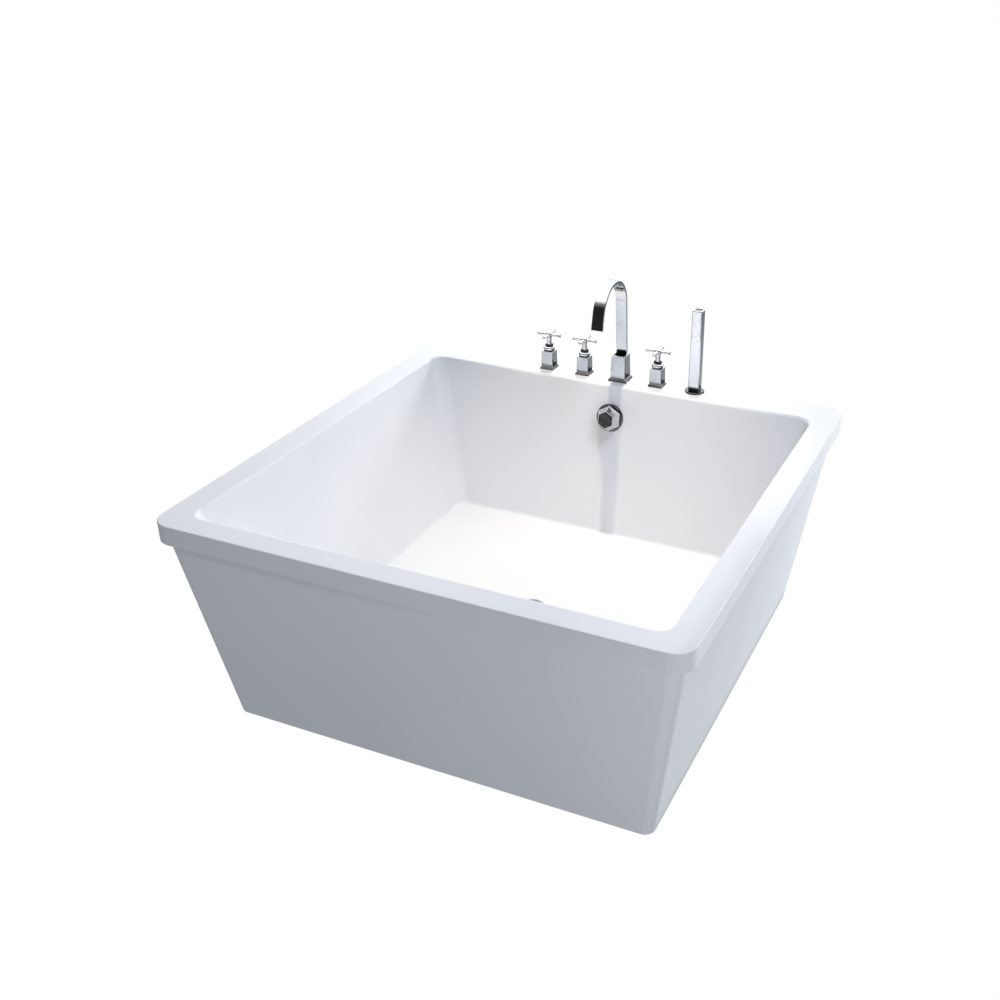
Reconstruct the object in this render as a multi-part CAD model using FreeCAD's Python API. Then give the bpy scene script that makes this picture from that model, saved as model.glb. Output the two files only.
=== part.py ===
import FreeCAD, Part
import math
import os

# A square freestanding bath with a tapered skirt and a five-hole tap set on its back rim.
# Lengths are millimetres and angles degrees. The origin is on the floor under the middle of
# the rim, +X runs right along the front face, +Y points to the tap side and +Z points up.

Vector = FreeCAD.Vector

# Basin and rim
TUB_WIDTH = 1200.0
TUB_DEPTH = 1200.0
BASIN_DEPTH = 410.0
SHELL = 6.0
RIM_THICK = 6.0
RIM_SIDE = 62.0
RIM_BACK = 98.0
RIM_CORNER_R = 48.0
RIM_EDGE_R = 4.0
LIP_HEIGHT = 45.0
LIP_WALL = 6.0
MOUTH_CORNER_R = 36.0
MOUTH_EDGE_R = 7.0
SIDE_RUN = 98.0
END_RUN = 68.0
FLOOR_CORNER_R = 32.0
FLOOR_EDGE_R = 20.0

# Skirt
LIP_REVEAL = 17.0
FOOT_INSET = 87.0
SKIRT_WALL = 5.0
SKIRT_TOP_CORNER_R = 35.0
SKIRT_FOOT_CORNER_R = 25.0
SKIRT_FLANGE = 25.0

# Board, frame and feet under the floor
BOARD_THICK = 15.0
BOARD_MARGIN = 60.0
RAIL = 25.0
RAIL_WALL = 2.0
RAIL_SIDE_INSET = 67.5
RAIL_END_INSET = 32.0
CROSS_INSET = 120.0
UNDER_FRAME = 64.0
FOOT_INSET_ON_RAIL = 40.0
STUD_R = 6.0
STUD_REACH = 8.0
FOOT_PAD_R = 22.0
FOOT_PAD_HEIGHT = 10.0
FOOT_PAD_EDGE_R = 3.0
FOOT_NUT_FLATS = 19.0
FOOT_NUT_HEIGHT = 10.0

# Drain and waste
DRAIN_FLANGE_R = 35.0
DRAIN_FLANGE_HEIGHT = 3.0
DRAIN_SEAT_HEIGHT = 1.0
DRAIN_SHANK_R = 23.0
DRAIN_SHANK_LENGTH = 34.0
DRAIN_WALL = 4.0
PLUG_R = 29.0
PLUG_EDGE = 2.5
PLUG_CROWN = 3.5
PLUG_LIFT = 10.0
PLUG_STEM_R = 3.0
PLUG_STEM_LENGTH = 56.0
GUIDE_BOSS_R = 7.0
GUIDE_BOSS_HEIGHT = 8.0
GUIDE_SPOKE = 4.0
GUIDE_SPOKES = 3
GASKET_THICK = 3.0
GASKET_LAND = 12.0
WASTE_FLANGE_THICK = 4.0
WASTE_WALL = 6.0
WASTE_TAIL_R = 20.0
WASTE_TAIL_WALL = 3.0
WASTE_TAIL_SHOULDER = 1.5
WASTE_TAIL_SEAT = 8.0
TAIL_CLEAR_OF_FLOOR = 4.0

# Overflow
OVERFLOW_DROP = 86.0
OVERFLOW_FLANGE_R = 38.0
OVERFLOW_FLANGE_THICK = 5.0
OVERFLOW_SHANK_R = 24.0
OVERFLOW_SHANK_WALL = 4.0
OVERFLOW_SHANK_LENGTH = 26.0
OVERFLOW_HOLES = 6
OVERFLOW_HOLE_R = 4.5
OVERFLOW_HOLE_CIRCLE_R = 13.0
OVERFLOW_BODY_WALL = 10.0
OVERFLOW_BODY_BACK = 4.0
OVERFLOW_SOCKET_COVER = 1.0
OVERFLOW_PIPE_R = 14.0
OVERFLOW_PIPE_WALL = 2.0
PIPE_BEND_R = 60.0
PIPE_UNDER_RAIL = 3.0
PIPE_SOCKET_WALL = 4.0
PIPE_SOCKET_LENGTH = 24.0
PIPE_SEAT = 16.0
CABLE_R = 3.0
CABLE_OFFSET = 24.0
CABLE_BOSS_WALL = 3.0
KNOB_BACK_FLATS = 61.0
KNOB_FRONT_FLATS = 42.0
KNOB_SKIRT = 5.0
KNOB_DEPTH = 27.0
KNOB_GAP = 3.0
KNOB_EDGE_R = 1.2
KNOB_SPINDLE_R = 5.0
KNOB_SPINDLE_SEAT = 16.0
DRUM_R = 9.0
DRUM_THICK = 6.0
DRUM_BACK_ROOM = 3.0

# Tap line on the back rim
TAP_PITCH = 105.0
TAP_INSET = 45.0
THREAD_R = 10.478
DECK_WASHER_THICK = 2.0
DECK_WASHER_LAND = 5.5
DECK_NUT_HEIGHT = 10.0
DECK_NUT_WALL = 4.5
LINK_PIPE_R = 6.0
LINK_PIPE_WALL = 1.2
LINK_PIPE_DROP = 32.0
LINK_PIPE_SEAT = 5.0

# Valves with cross handles
FLANGE_SIDE = 40.0
FLANGE_THICK = 5.0
FLANGE_LEDGE = 3.0
FLANGE_CHAMFER = 1.5
FLANGE_CORNER_LAND = 1.0
BLOCK_HEIGHT = 45.0
BLOCK_TAPER = 1.0
BLOCK_CORNER_R = 2.0
BLOCK_EDGE_R = 1.0
BLOCK_WALL = 2.5
BLOCK_CAP = 4.0
VALVE_DROP = 44.0
VALVE_TAIL = 18.0
VALVE_TAIL_WALL = 2.5
VALVE_HEAD_ROOM = 8.0
CARTRIDGE_LENGTH = 30.0
CARTRIDGE_WALL = 2.4
SPINDLE_R = 4.0
SPINDLE_IN_CARTRIDGE = 18.0
COLLAR_HEIGHT = 17.0
COLLAR_STEP = 0.5
COLLAR_GROOVE = 3.5
COLLAR_GROOVE_HEIGHT = 2.0
COLLAR_EDGE = 3.0
COLLAR_LIP_HEIGHT = 4.0
NECK_WALL = 2.45
NECK_HEIGHT = 28.0
NECK_IN_COLLAR = 7.0
HUB_FLARE = 2.6
HUB_RISE = 7.0
HUB_BELOW = 9.0
ARM_R = 3.7
ARM_REACH = 34.0
ARM_SEAT = 5.6
BUTTON_R = 4.8
BUTTON_LENGTH = 5.0
BUTTON_GROOVE = 0.8
BUTTON_EDGE_R = 1.2

# Ribbon spout
RIBBON_WIDTH = 30.0
RIBBON_THICK = 8.0
RIBBON_WALL = 1.5
RIBBON_EDGE_R = 1.0
RIBBON_BACK = 8.0
NECK_LEAN = 4.4
ARCH_R = 78.0
ARCH_RISE = 140.0
TIP_LEAN = 13.0
TIP_RUN = 26.0
OUTLET_LENGTH = 14.0
OUTLET_PLUG = 8.0
OUTLET_PLUG_WALL = 0.85
OUTLET_SLOTS = 5
OUTLET_SLOT_GAP = 1.6
SPOUT_BLOCK_WALL = 4.0
SPOUT_BLOCK_TAPER = 2.0
SPOUT_BLOCK_HEIGHT = 65.0
SPOUT_BLOCK_OPENING = 27.0
SPOUT_LEDGE = 5.0
SPOUT_FLANGE_THICK = 6.0

# Hand shower
SPIGOT_STEP = 0.722
SPIGOT_LENGTH = 30.0
NIPPLE_LENGTH = 18.0
NIPPLE_WALL = 3.0
CRADLE_WALL = 1.4
CRADLE_HEIGHT = 9.0
CRADLE_CORNER_R = 3.0
GUIDE_WALL = 2.4
GUIDE_DROP = 46.0
RING_R = 26.0
RING_THICK = 5.0
RING_EDGE_R = 2.0
WAND_EXTRA = 4.0
WAND_TAPER = 1.5
WAND_LENGTH = 209.0
WAND_CORNER_R = 3.0
WAND_TOP_EDGE_R = 2.5
WAND_BORE_R = 6.0
SPRAY_BORDER = 2.2
SPRAY_LENGTH = 71.0
SPRAY_TOP_MARGIN = 8.0
SPRAY_THICK = 3.0
SPRAY_PROUD = 0.6
SPRAY_CHAMBER = 6.0
SPRAY_REST = 1.5
SPRAY_EDGE_R = 0.4

# Fits and clearances
RUNNING_FIT = 0.05
SEAT_FIT = 0.1
FREE_FIT = 0.4
DECK_HOLE_FIT = 0.5
MOVING_GAP = 0.3
OVERRUN = 1.0
HEIGHT_TOLERANCE = 0.001

# Heights and sizes that follow from the ones above
FRAME_TOP = UNDER_FRAME + RAIL
FLOOR_UNDERSIDE = FRAME_TOP + BOARD_THICK
FLOOR_Z = FLOOR_UNDERSIDE + SHELL
RIM_Z = FLOOR_Z + BASIN_DEPTH
DECK_UNDERSIDE = RIM_Z - RIM_THICK
LIP_Z = RIM_Z - LIP_HEIGHT
MOUTH_WIDTH = TUB_WIDTH - 2 * RIM_SIDE
MOUTH_DEPTH = TUB_DEPTH - RIM_SIDE - RIM_BACK
BASIN_Y = (RIM_SIDE - RIM_BACK) / 2
MOUTH_BACK_Y = TUB_DEPTH / 2 - RIM_BACK
FLOOR_WIDTH = MOUTH_WIDTH - 2 * SIDE_RUN
FLOOR_DEPTH = MOUTH_DEPTH - 2 * END_RUN
BOARD_WIDTH = FLOOR_WIDTH - 2 * BOARD_MARGIN
BOARD_DEPTH = FLOOR_DEPTH - 2 * BOARD_MARGIN
RAIL_SPACING = BOARD_WIDTH - 2 * RAIL_SIDE_INSET - RAIL
RAIL_LENGTH = BOARD_DEPTH - 2 * RAIL_END_INSET
SKIRT_SLOPE = (FOOT_INSET - LIP_REVEAL) / LIP_Z
SKIRT_CORNER_SLOPE = (SKIRT_TOP_CORNER_R - SKIRT_FOOT_CORNER_R) / DECK_UNDERSIDE

DRAIN_BORE_R = DRAIN_SHANK_R - DRAIN_WALL
DRAIN_HOLE_R = DRAIN_SHANK_R + DECK_HOLE_FIT
PLUG_SEAT_Z = FLOOR_Z + DRAIN_SEAT_HEIGHT
PLUG_CLOSED_Z = PLUG_SEAT_Z + MOVING_GAP
PLUG_REST_Z = PLUG_CLOSED_Z + PLUG_LIFT
WASTE_TOP = FLOOR_UNDERSIDE - GASKET_THICK
WASTE_BORE_R = DRAIN_SHANK_R + SEAT_FIT
WASTE_BODY_R = WASTE_BORE_R + WASTE_WALL
WASTE_FLANGE_R = DRAIN_HOLE_R + GASKET_LAND
BOARD_HOLE_R = WASTE_FLANGE_R + GASKET_THICK
PIPE_SOCKET_R = OVERFLOW_PIPE_R + SEAT_FIT + PIPE_SOCKET_WALL
BRANCH_Z = UNDER_FRAME - PIPE_UNDER_RAIL - OVERFLOW_PIPE_R
WASTE_BOTTOM = BRANCH_Z - PIPE_SOCKET_R - GASKET_THICK
WASTE_SPIGOT_R = WASTE_TAIL_R - WASTE_TAIL_SHOULDER
WASTE_CHAMBER_R = WASTE_SPIGOT_R + SEAT_FIT
CABLE_BOSS_R = CABLE_R + SEAT_FIT + CABLE_BOSS_WALL

WALL_LEAN = math.degrees(math.atan2(END_RUN, BASIN_DEPTH))
WALL_THICK = SHELL * math.cos(math.radians(WALL_LEAN))
KNOB_POINT = Vector(0, MOUTH_BACK_Y - OVERFLOW_DROP * END_RUN / BASIN_DEPTH, RIM_Z - OVERFLOW_DROP)
OVERFLOW_BODY_TOP = -WALL_THICK - GASKET_THICK
OVERFLOW_BODY_R = OVERFLOW_SHANK_R + SEAT_FIT + OVERFLOW_BODY_WALL
PIPE_DEPTH = OVERFLOW_BODY_TOP - OVERFLOW_SOCKET_COVER - PIPE_SOCKET_R
OVERFLOW_BODY_BOTTOM = PIPE_DEPTH - PIPE_SOCKET_R - OVERFLOW_SOCKET_COVER
PIPE_SOCKET_END = OVERFLOW_BODY_R + PIPE_SOCKET_LENGTH

TAP_Y = TUB_DEPTH / 2 - TAP_INSET
FLANGE_CORNER_R = FLANGE_CHAMFER + FLANGE_CORNER_LAND
BLOCK_FOOT_SIDE = FLANGE_SIDE - 2 * FLANGE_LEDGE
BLOCK_TOP_SIDE = BLOCK_FOOT_SIDE - 2 * BLOCK_TAPER
BLOCK_TOP = FLANGE_THICK + BLOCK_HEIGHT
SHANK_R = BLOCK_TOP_SIDE / 2 - BLOCK_WALL
DECK_HOLE_R = SHANK_R + DECK_HOLE_FIT
VALVE_BORE_R = THREAD_R - VALVE_TAIL_WALL
VALVE_HEAD = BLOCK_TOP - BLOCK_CAP - VALVE_HEAD_ROOM
CARTRIDGE_R = SHANK_R - CARTRIDGE_WALL - SEAT_FIT
CARTRIDGE_FOOT = VALVE_HEAD - CARTRIDGE_LENGTH
COLLAR_R = BLOCK_TOP_SIDE / 2 - COLLAR_STEP
COLLAR_TOP = BLOCK_TOP + COLLAR_HEIGHT
NECK_R = SPINDLE_R + RUNNING_FIT + NECK_WALL
COLLAR_BORE_R = NECK_R + FREE_FIT
HUB_R = NECK_R + HUB_FLARE
CROSS_Z = COLLAR_TOP + NECK_HEIGHT
NECK_FOOT = COLLAR_TOP - NECK_IN_COLLAR
SPINDLE_TOP = CROSS_Z - HUB_BELOW

SPOUT_TOP_SIDE = RIBBON_WIDTH + 2 * SPOUT_BLOCK_WALL
SPOUT_FOOT_SIDE = SPOUT_TOP_SIDE + 2 * SPOUT_BLOCK_TAPER
SPOUT_FLANGE_SIDE = SPOUT_FOOT_SIDE + 2 * SPOUT_LEDGE
SPOUT_BLOCK_TOP = SPOUT_FLANGE_THICK + SPOUT_BLOCK_HEIGHT
SPOUT_SHANK_TOP = SPOUT_BLOCK_TOP - SPOUT_BLOCK_OPENING

SPIGOT_R = THREAD_R + SPIGOT_STEP
CRADLE_BORE_R = SPIGOT_R + FREE_FIT
WAND_DEPTH = 2 * (CRADLE_BORE_R + CRADLE_WALL)
WAND_FOOT_WIDTH = WAND_DEPTH + WAND_EXTRA
WAND_TOP_WIDTH = WAND_FOOT_WIDTH - 2 * WAND_TAPER
WAND_FOOT = RING_THICK + CRADLE_HEIGHT
WAND_TOP = WAND_FOOT + WAND_LENGTH
GUIDE_R = CRADLE_BORE_R + GUIDE_WALL
SPRAY_WIDTH = WAND_TOP_WIDTH - 2 * SPRAY_BORDER
SPRAY_TOP = WAND_TOP - SPRAY_TOP_MARGIN
SPRAY_FOOT = SPRAY_TOP - SPRAY_LENGTH

HOT_X = -2 * TAP_PITCH
COLD_X = -TAP_PITCH
SHOWER_VALVE_X = TAP_PITCH
HANDSET_X = 2 * TAP_PITCH


# General shapes
def rod(radius, bottom, top, x=0.0, y=0.0):
    return Part.makeCylinder(radius, top - bottom, Vector(x, y, bottom))


def tube(outer_r, inner_r, bottom, top, x=0.0, y=0.0):
    return rod(outer_r, bottom, top, x, y).cut(rod(inner_r, bottom - OVERRUN, top + OVERRUN, x, y))


def box(width, depth, bottom, top, x=0.0, y=0.0):
    return Part.makeBox(width, depth, top - bottom, Vector(x - width / 2, y - depth / 2, bottom))


def rounded_outline(width, depth, corner_r, z, y=0.0):
    """Closed outline of straight sides and round corners at height z."""
    arcs = []
    for side_x, side_y, start in ((1, -1, 270), (1, 1, 0), (-1, 1, 90), (-1, -1, 180)):
        hub = Vector(side_x * (width / 2 - corner_r), y + side_y * (depth / 2 - corner_r), z)
        arc = []
        for turn in (0, 45, 90):
            angle = math.radians(start + turn)
            arc.append(hub + Vector(corner_r * math.cos(angle), corner_r * math.sin(angle), 0))
        arcs.append(arc)
    edges = []
    for number, arc in enumerate(arcs):
        edges.append(Part.LineSegment(arcs[number - 1][2], arc[0]).toShape())
        edges.append(Part.Arc(*arc).toShape())
    return Part.Wire(edges)


def rounded_slab(width, depth, corner_r, bottom, top, y=0.0):
    outline = rounded_outline(width, depth, corner_r, bottom, y)
    return Part.Face(outline).extrude(Vector(0, 0, top - bottom))


def loft(*outlines):
    return Part.makeLoft(list(outlines), True, True)


def hexagon(across_flats, z):
    corners = []
    for number in range(7):
        angle = math.radians(30 + 60 * number)
        reach = across_flats / math.sqrt(3)
        corners.append(Vector(reach * math.cos(angle), reach * math.sin(angle), z))
    return Part.makePolygon(corners)


def hex_nut(bore_r, across_flats, bottom, top, x=0.0, y=0.0):
    prism = Part.Face(hexagon(across_flats, bottom)).extrude(Vector(0, 0, top - bottom))
    prism.translate(Vector(x, y, 0))
    return prism.cut(rod(bore_r, bottom - OVERRUN, top + OVERRUN, x, y))


def turned(profile):
    """Solid of revolution about Z from (radius, height) points."""
    points = [Vector(radius, 0, height) for radius, height in profile]
    points.append(points[0])
    face = Part.Face(Part.makePolygon(points))
    return face.revolve(Vector(0, 0, 0), Vector(0, 0, 1), 360)


def edges_at(shape, z):
    """Edges that lie wholly at height z."""
    found = []
    for edge in shape.Edges:
        low = abs(edge.BoundBox.ZMin - z)
        high = abs(edge.BoundBox.ZMax - z)
        if max(low, high) < HEIGHT_TOLERANCE:
            found.append(edge)
    return found


def bent_rod(radius, start, corner, end, bend_r):
    """Round rod along two straight runs joined by one tangent arc."""
    to_start = Vector(start - corner).normalize()
    to_end = Vector(end - corner).normalize()
    half_angle = to_start.getAngle(to_end) / 2
    reach = bend_r / math.tan(half_angle)
    bisector = Vector(to_start + to_end).normalize()
    centre = corner + bisector * (bend_r / math.sin(half_angle))
    arc_start = corner + to_start * reach
    arc_end = corner + to_end * reach
    path = Part.Wire([
        Part.LineSegment(start, arc_start).toShape(),
        Part.Arc(arc_start, centre - bisector * bend_r, arc_end).toShape(),
        Part.LineSegment(arc_end, end).toShape(),
    ])
    section = Part.Wire(Part.makeCircle(radius, start, corner - start))
    return path.makePipeShell([section], True, False)


def on_rim(shape, x):
    """Moves a tap piece from its own axis to its hole on the back rim."""
    moved = shape.copy()
    moved.translate(Vector(x, TAP_Y, RIM_Z))
    return moved


def on_wall(shape):
    """Moves an overflow piece so that its Z axis is the back wall's inward normal."""
    moved = shape.copy()
    moved.rotate(Vector(0, 0, 0), Vector(1, 0, 0), 90 - WALL_LEAN)
    moved.translate(KNOB_POINT)
    return moved


def wall_point(x, up, out):
    """Point given along the back wall: across, up the wall and out from it."""
    lean = math.radians(WALL_LEAN)
    y = up * math.sin(lean) - out * math.cos(lean)
    z = up * math.cos(lean) + out * math.sin(lean)
    return KNOB_POINT + Vector(x, y, z)


# Tub
def basin_shell():
    """Moulded basin, flat rim and turned-down lip in one shell."""
    floor_edge = rounded_outline(FLOOR_WIDTH, FLOOR_DEPTH, FLOOR_CORNER_R, FLOOR_Z, BASIN_Y)
    mouth_edge = rounded_outline(MOUTH_WIDTH, MOUTH_DEPTH, MOUTH_CORNER_R, RIM_Z, BASIN_Y)
    hollow = loft(floor_edge, mouth_edge)
    hollow = hollow.makeFillet(FLOOR_EDGE_R, edges_at(hollow, FLOOR_Z))
    side_step = SHELL - SIDE_RUN * SHELL / BASIN_DEPTH
    end_step = SHELL - END_RUN * SHELL / BASIN_DEPTH
    outer_floor = rounded_outline(
        FLOOR_WIDTH + 2 * side_step, FLOOR_DEPTH + 2 * end_step, FLOOR_CORNER_R + SHELL,
        FLOOR_UNDERSIDE, BASIN_Y,
    )
    outer_mouth = rounded_outline(
        MOUTH_WIDTH + 2 * SHELL, MOUTH_DEPTH + 2 * SHELL, MOUTH_CORNER_R + SHELL, RIM_Z, BASIN_Y
    )
    bowl = loft(outer_floor, outer_mouth)
    bowl = bowl.makeFillet(FLOOR_EDGE_R + SHELL, edges_at(bowl, FLOOR_UNDERSIDE))
    rim = rounded_slab(TUB_WIDTH, TUB_DEPTH, RIM_CORNER_R, LIP_Z, RIM_Z)
    rim = rim.makeFillet(RIM_EDGE_R, edges_at(rim, RIM_Z))
    under_rim = rounded_slab(
        TUB_WIDTH - 2 * LIP_WALL, TUB_DEPTH - 2 * LIP_WALL, RIM_CORNER_R - LIP_WALL, LIP_Z - OVERRUN,
        DECK_UNDERSIDE,
    )
    shell = rim.cut(under_rim).fuse(bowl).cut(hollow)
    mouth = []
    for edge in edges_at(shell, RIM_Z):
        middle = edge.CenterOfMass
        inside_x = abs(middle.x) < MOUTH_WIDTH / 2 + HEIGHT_TOLERANCE
        inside_y = abs(middle.y - BASIN_Y) < MOUTH_DEPTH / 2 + HEIGHT_TOLERANCE
        if inside_x and inside_y:
            mouth.append(edge)
    shell = shell.makeFillet(MOUTH_EDGE_R, mouth)
    shell = shell.cut(rod(DRAIN_HOLE_R, FLOOR_UNDERSIDE - OVERRUN, FLOOR_Z + OVERRUN))
    wall_hole = rod(OVERFLOW_SHANK_R + DECK_HOLE_FIT, -WALL_THICK - RIM_THICK, RIM_THICK)
    shell = shell.cut(on_wall(wall_hole))
    tap_hole = rod(DECK_HOLE_R, -RIM_THICK - OVERRUN, OVERRUN)
    for x in (HOT_X, COLD_X, 0.0, SHOWER_VALVE_X):
        shell = shell.cut(on_rim(tap_hole, x))
    guide_hole = rod(GUIDE_R + DECK_HOLE_FIT, -RIM_THICK - OVERRUN, OVERRUN)
    return shell.cut(on_rim(guide_hole, HANDSET_X))


def skirt_outline(z, inward):
    inset = 2 * (FOOT_INSET - SKIRT_SLOPE * z + inward)
    corner_r = SKIRT_FOOT_CORNER_R + SKIRT_CORNER_SLOPE * z - inward
    return rounded_outline(TUB_WIDTH - inset, TUB_DEPTH - inset, max(corner_r, SKIRT_WALL), z)


def outer_skirt():
    """Tapered four-sided skirt with a flange turned in at the floor."""
    outside = loft(skirt_outline(0.0, 0.0), skirt_outline(DECK_UNDERSIDE, 0.0))
    inner_top = skirt_outline(DECK_UNDERSIDE + OVERRUN, SKIRT_WALL)
    inside = loft(skirt_outline(SKIRT_WALL, SKIRT_WALL), inner_top)
    floor_gap = Part.Face(skirt_outline(0.0, SKIRT_FLANGE)).extrude(Vector(0, 0, SKIRT_WALL + OVERRUN))
    floor_gap.translate(Vector(0, 0, -OVERRUN / 2))
    return outside.cut(inside).cut(floor_gap)


def base_board():
    board = box(BOARD_WIDTH, BOARD_DEPTH, FRAME_TOP, FLOOR_UNDERSIDE, 0.0, BASIN_Y)
    return board.cut(rod(BOARD_HOLE_R, FRAME_TOP - OVERRUN, FLOOR_UNDERSIDE + OVERRUN))


def foot_places():
    reach = RAIL_LENGTH / 2 - FOOT_INSET_ON_RAIL
    places = {}
    for end, side_y in (("front", -1), ("back", 1)):
        for side, side_x in (("left", -1), ("right", 1)):
            places[end + "_" + side] = (side_x * RAIL_SPACING / 2, BASIN_Y + side_y * reach)
    return places


def frame_rail(side_x):
    x = side_x * RAIL_SPACING / 2
    rail = box(RAIL, RAIL_LENGTH, UNDER_FRAME, FRAME_TOP, x, BASIN_Y)
    inner = RAIL - 2 * RAIL_WALL
    inside = box(inner, RAIL_LENGTH + OVERRUN, UNDER_FRAME + RAIL_WALL, FRAME_TOP - RAIL_WALL, x, BASIN_Y)
    rail = rail.cut(inside)
    for place_x, place_y in foot_places().values():
        if place_x * side_x > 0:
            rail = rail.cut(
                rod(STUD_R + DECK_HOLE_FIT, UNDER_FRAME - OVERRUN, UNDER_FRAME + RAIL_WALL + OVERRUN,
                    place_x, place_y)
            )
    return rail


def frame_cross(side_y):
    y = BASIN_Y + side_y * (RAIL_LENGTH / 2 - CROSS_INSET)
    length = RAIL_SPACING - RAIL
    inner = RAIL - 2 * RAIL_WALL
    cross = box(length, RAIL, UNDER_FRAME, FRAME_TOP, 0.0, y)
    return cross.cut(box(length + OVERRUN, inner, UNDER_FRAME + RAIL_WALL, FRAME_TOP - RAIL_WALL, 0.0, y))


def levelling_foot(x, y):
    pad = rod(FOOT_PAD_R, 0.0, FOOT_PAD_HEIGHT)
    pad = pad.makeFillet(FOOT_PAD_EDGE_R, edges_at(pad, FOOT_PAD_HEIGHT))
    stud = rod(STUD_R, FOOT_PAD_HEIGHT / 2, UNDER_FRAME + RAIL_WALL + STUD_REACH)
    foot = pad.fuse(stud)
    foot.translate(Vector(x, y, 0))
    return foot


def foot_nuts():
    nuts = []
    for x, y in foot_places().values():
        nuts.append(
            hex_nut(STUD_R + RUNNING_FIT, FOOT_NUT_FLATS, UNDER_FRAME - FOOT_NUT_HEIGHT, UNDER_FRAME, x, y)
        )
    return Part.makeCompound(nuts)


# Drain and overflow
def drain_flange():
    """Strainer flange on the floor, with a threaded shank and the plug's guide inside."""
    foot = FLOOR_Z - DRAIN_SHANK_LENGTH
    plate = rod(DRAIN_FLANGE_R, FLOOR_Z, FLOOR_Z + DRAIN_FLANGE_HEIGHT)
    plate = plate.makeFillet(DRAIN_FLANGE_HEIGHT / 2, edges_at(plate, FLOOR_Z + DRAIN_FLANGE_HEIGHT))
    flange = plate.fuse(rod(DRAIN_SHANK_R, foot, FLOOR_Z))
    flange = flange.cut(rod(PLUG_R + MOVING_GAP, PLUG_SEAT_Z, FLOOR_Z + DRAIN_FLANGE_HEIGHT + OVERRUN))
    flange = flange.cut(rod(DRAIN_BORE_R, foot - OVERRUN, FLOOR_Z + OVERRUN))
    guide = rod(GUIDE_BOSS_R, foot, foot + GUIDE_BOSS_HEIGHT)
    for number in range(GUIDE_SPOKES):
        spoke = Part.makeBox(DRAIN_BORE_R + DRAIN_WALL / 2, GUIDE_SPOKE, GUIDE_BOSS_HEIGHT,
                             Vector(0, -GUIDE_SPOKE / 2, foot))
        spoke.rotate(Vector(0, 0, 0), Vector(0, 0, 1), 360 / GUIDE_SPOKES * number)
        guide = guide.fuse(spoke)
    bore = rod(PLUG_STEM_R + RUNNING_FIT, foot - OVERRUN, foot + GUIDE_BOSS_HEIGHT + OVERRUN)
    return flange.fuse(guide).cut(bore)


def drain_plug():
    """Domed plug on a stem, standing open above its seat."""
    under = PLUG_REST_Z
    edge = under + PLUG_EDGE
    crown_r = (PLUG_R * PLUG_R + PLUG_CROWN * PLUG_CROWN) / (2 * PLUG_CROWN)
    dome = Part.makeSphere(crown_r, Vector(0, 0, edge + PLUG_CROWN - crown_r))
    head = rod(PLUG_R, under, edge + PLUG_CROWN).common(dome)
    return head.fuse(rod(PLUG_STEM_R, under - PLUG_STEM_LENGTH, under + PLUG_EDGE / 2))


def waste_gaskets():
    drain_seal = tube(WASTE_FLANGE_R, DRAIN_HOLE_R, WASTE_TOP, FLOOR_UNDERSIDE)
    wall_seal = tube(OVERFLOW_BODY_R, OVERFLOW_SHANK_R + DECK_HOLE_FIT, OVERFLOW_BODY_TOP, -WALL_THICK)
    return Part.makeCompound([drain_seal, on_wall(wall_seal)])


def branch_end():
    return WASTE_BODY_R + PIPE_SOCKET_LENGTH


def waste_body():
    """Cup under the drain with a branch for the overflow pipe and a boss for the cable."""
    body = rod(WASTE_BODY_R, WASTE_BOTTOM, WASTE_TOP)
    body = body.fuse(rod(WASTE_FLANGE_R, WASTE_TOP - WASTE_FLANGE_THICK, WASTE_TOP))
    along = Vector(0, 1, 0)
    branch = Part.makeCylinder(PIPE_SOCKET_R, branch_end(), Vector(0, 0, BRANCH_Z), along)
    boss = Part.makeCylinder(CABLE_BOSS_R, branch_end(), Vector(CABLE_OFFSET, 0, BRANCH_Z), along)
    body = body.fuse(branch).fuse(boss)
    shank_foot = FLOOR_Z - DRAIN_SHANK_LENGTH
    body = body.cut(rod(WASTE_BORE_R, shank_foot - SEAT_FIT, WASTE_TOP + OVERRUN))
    body = body.cut(rod(WASTE_CHAMBER_R, WASTE_BOTTOM - OVERRUN, shank_foot))
    bore_r = OVERFLOW_PIPE_R + SEAT_FIT
    body = body.cut(Part.makeCylinder(bore_r, branch_end() + OVERRUN, Vector(0, 0, BRANCH_Z), along))
    cable_bore = Part.makeCylinder(
        CABLE_R + SEAT_FIT, branch_end() + OVERRUN, Vector(CABLE_OFFSET, 0, BRANCH_Z), along
    )
    return body.cut(cable_bore)


def waste_tail():
    """Outlet pipe with a narrower spigot that stops at a shoulder."""
    tail = rod(WASTE_TAIL_R, TAIL_CLEAR_OF_FLOOR, WASTE_BOTTOM)
    top = WASTE_BOTTOM + WASTE_TAIL_SEAT
    tail = tail.fuse(rod(WASTE_SPIGOT_R, WASTE_BOTTOM, top))
    return tail.cut(rod(WASTE_TAIL_R - WASTE_TAIL_WALL, TAIL_CLEAR_OF_FLOOR - OVERRUN, top + OVERRUN))


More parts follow.
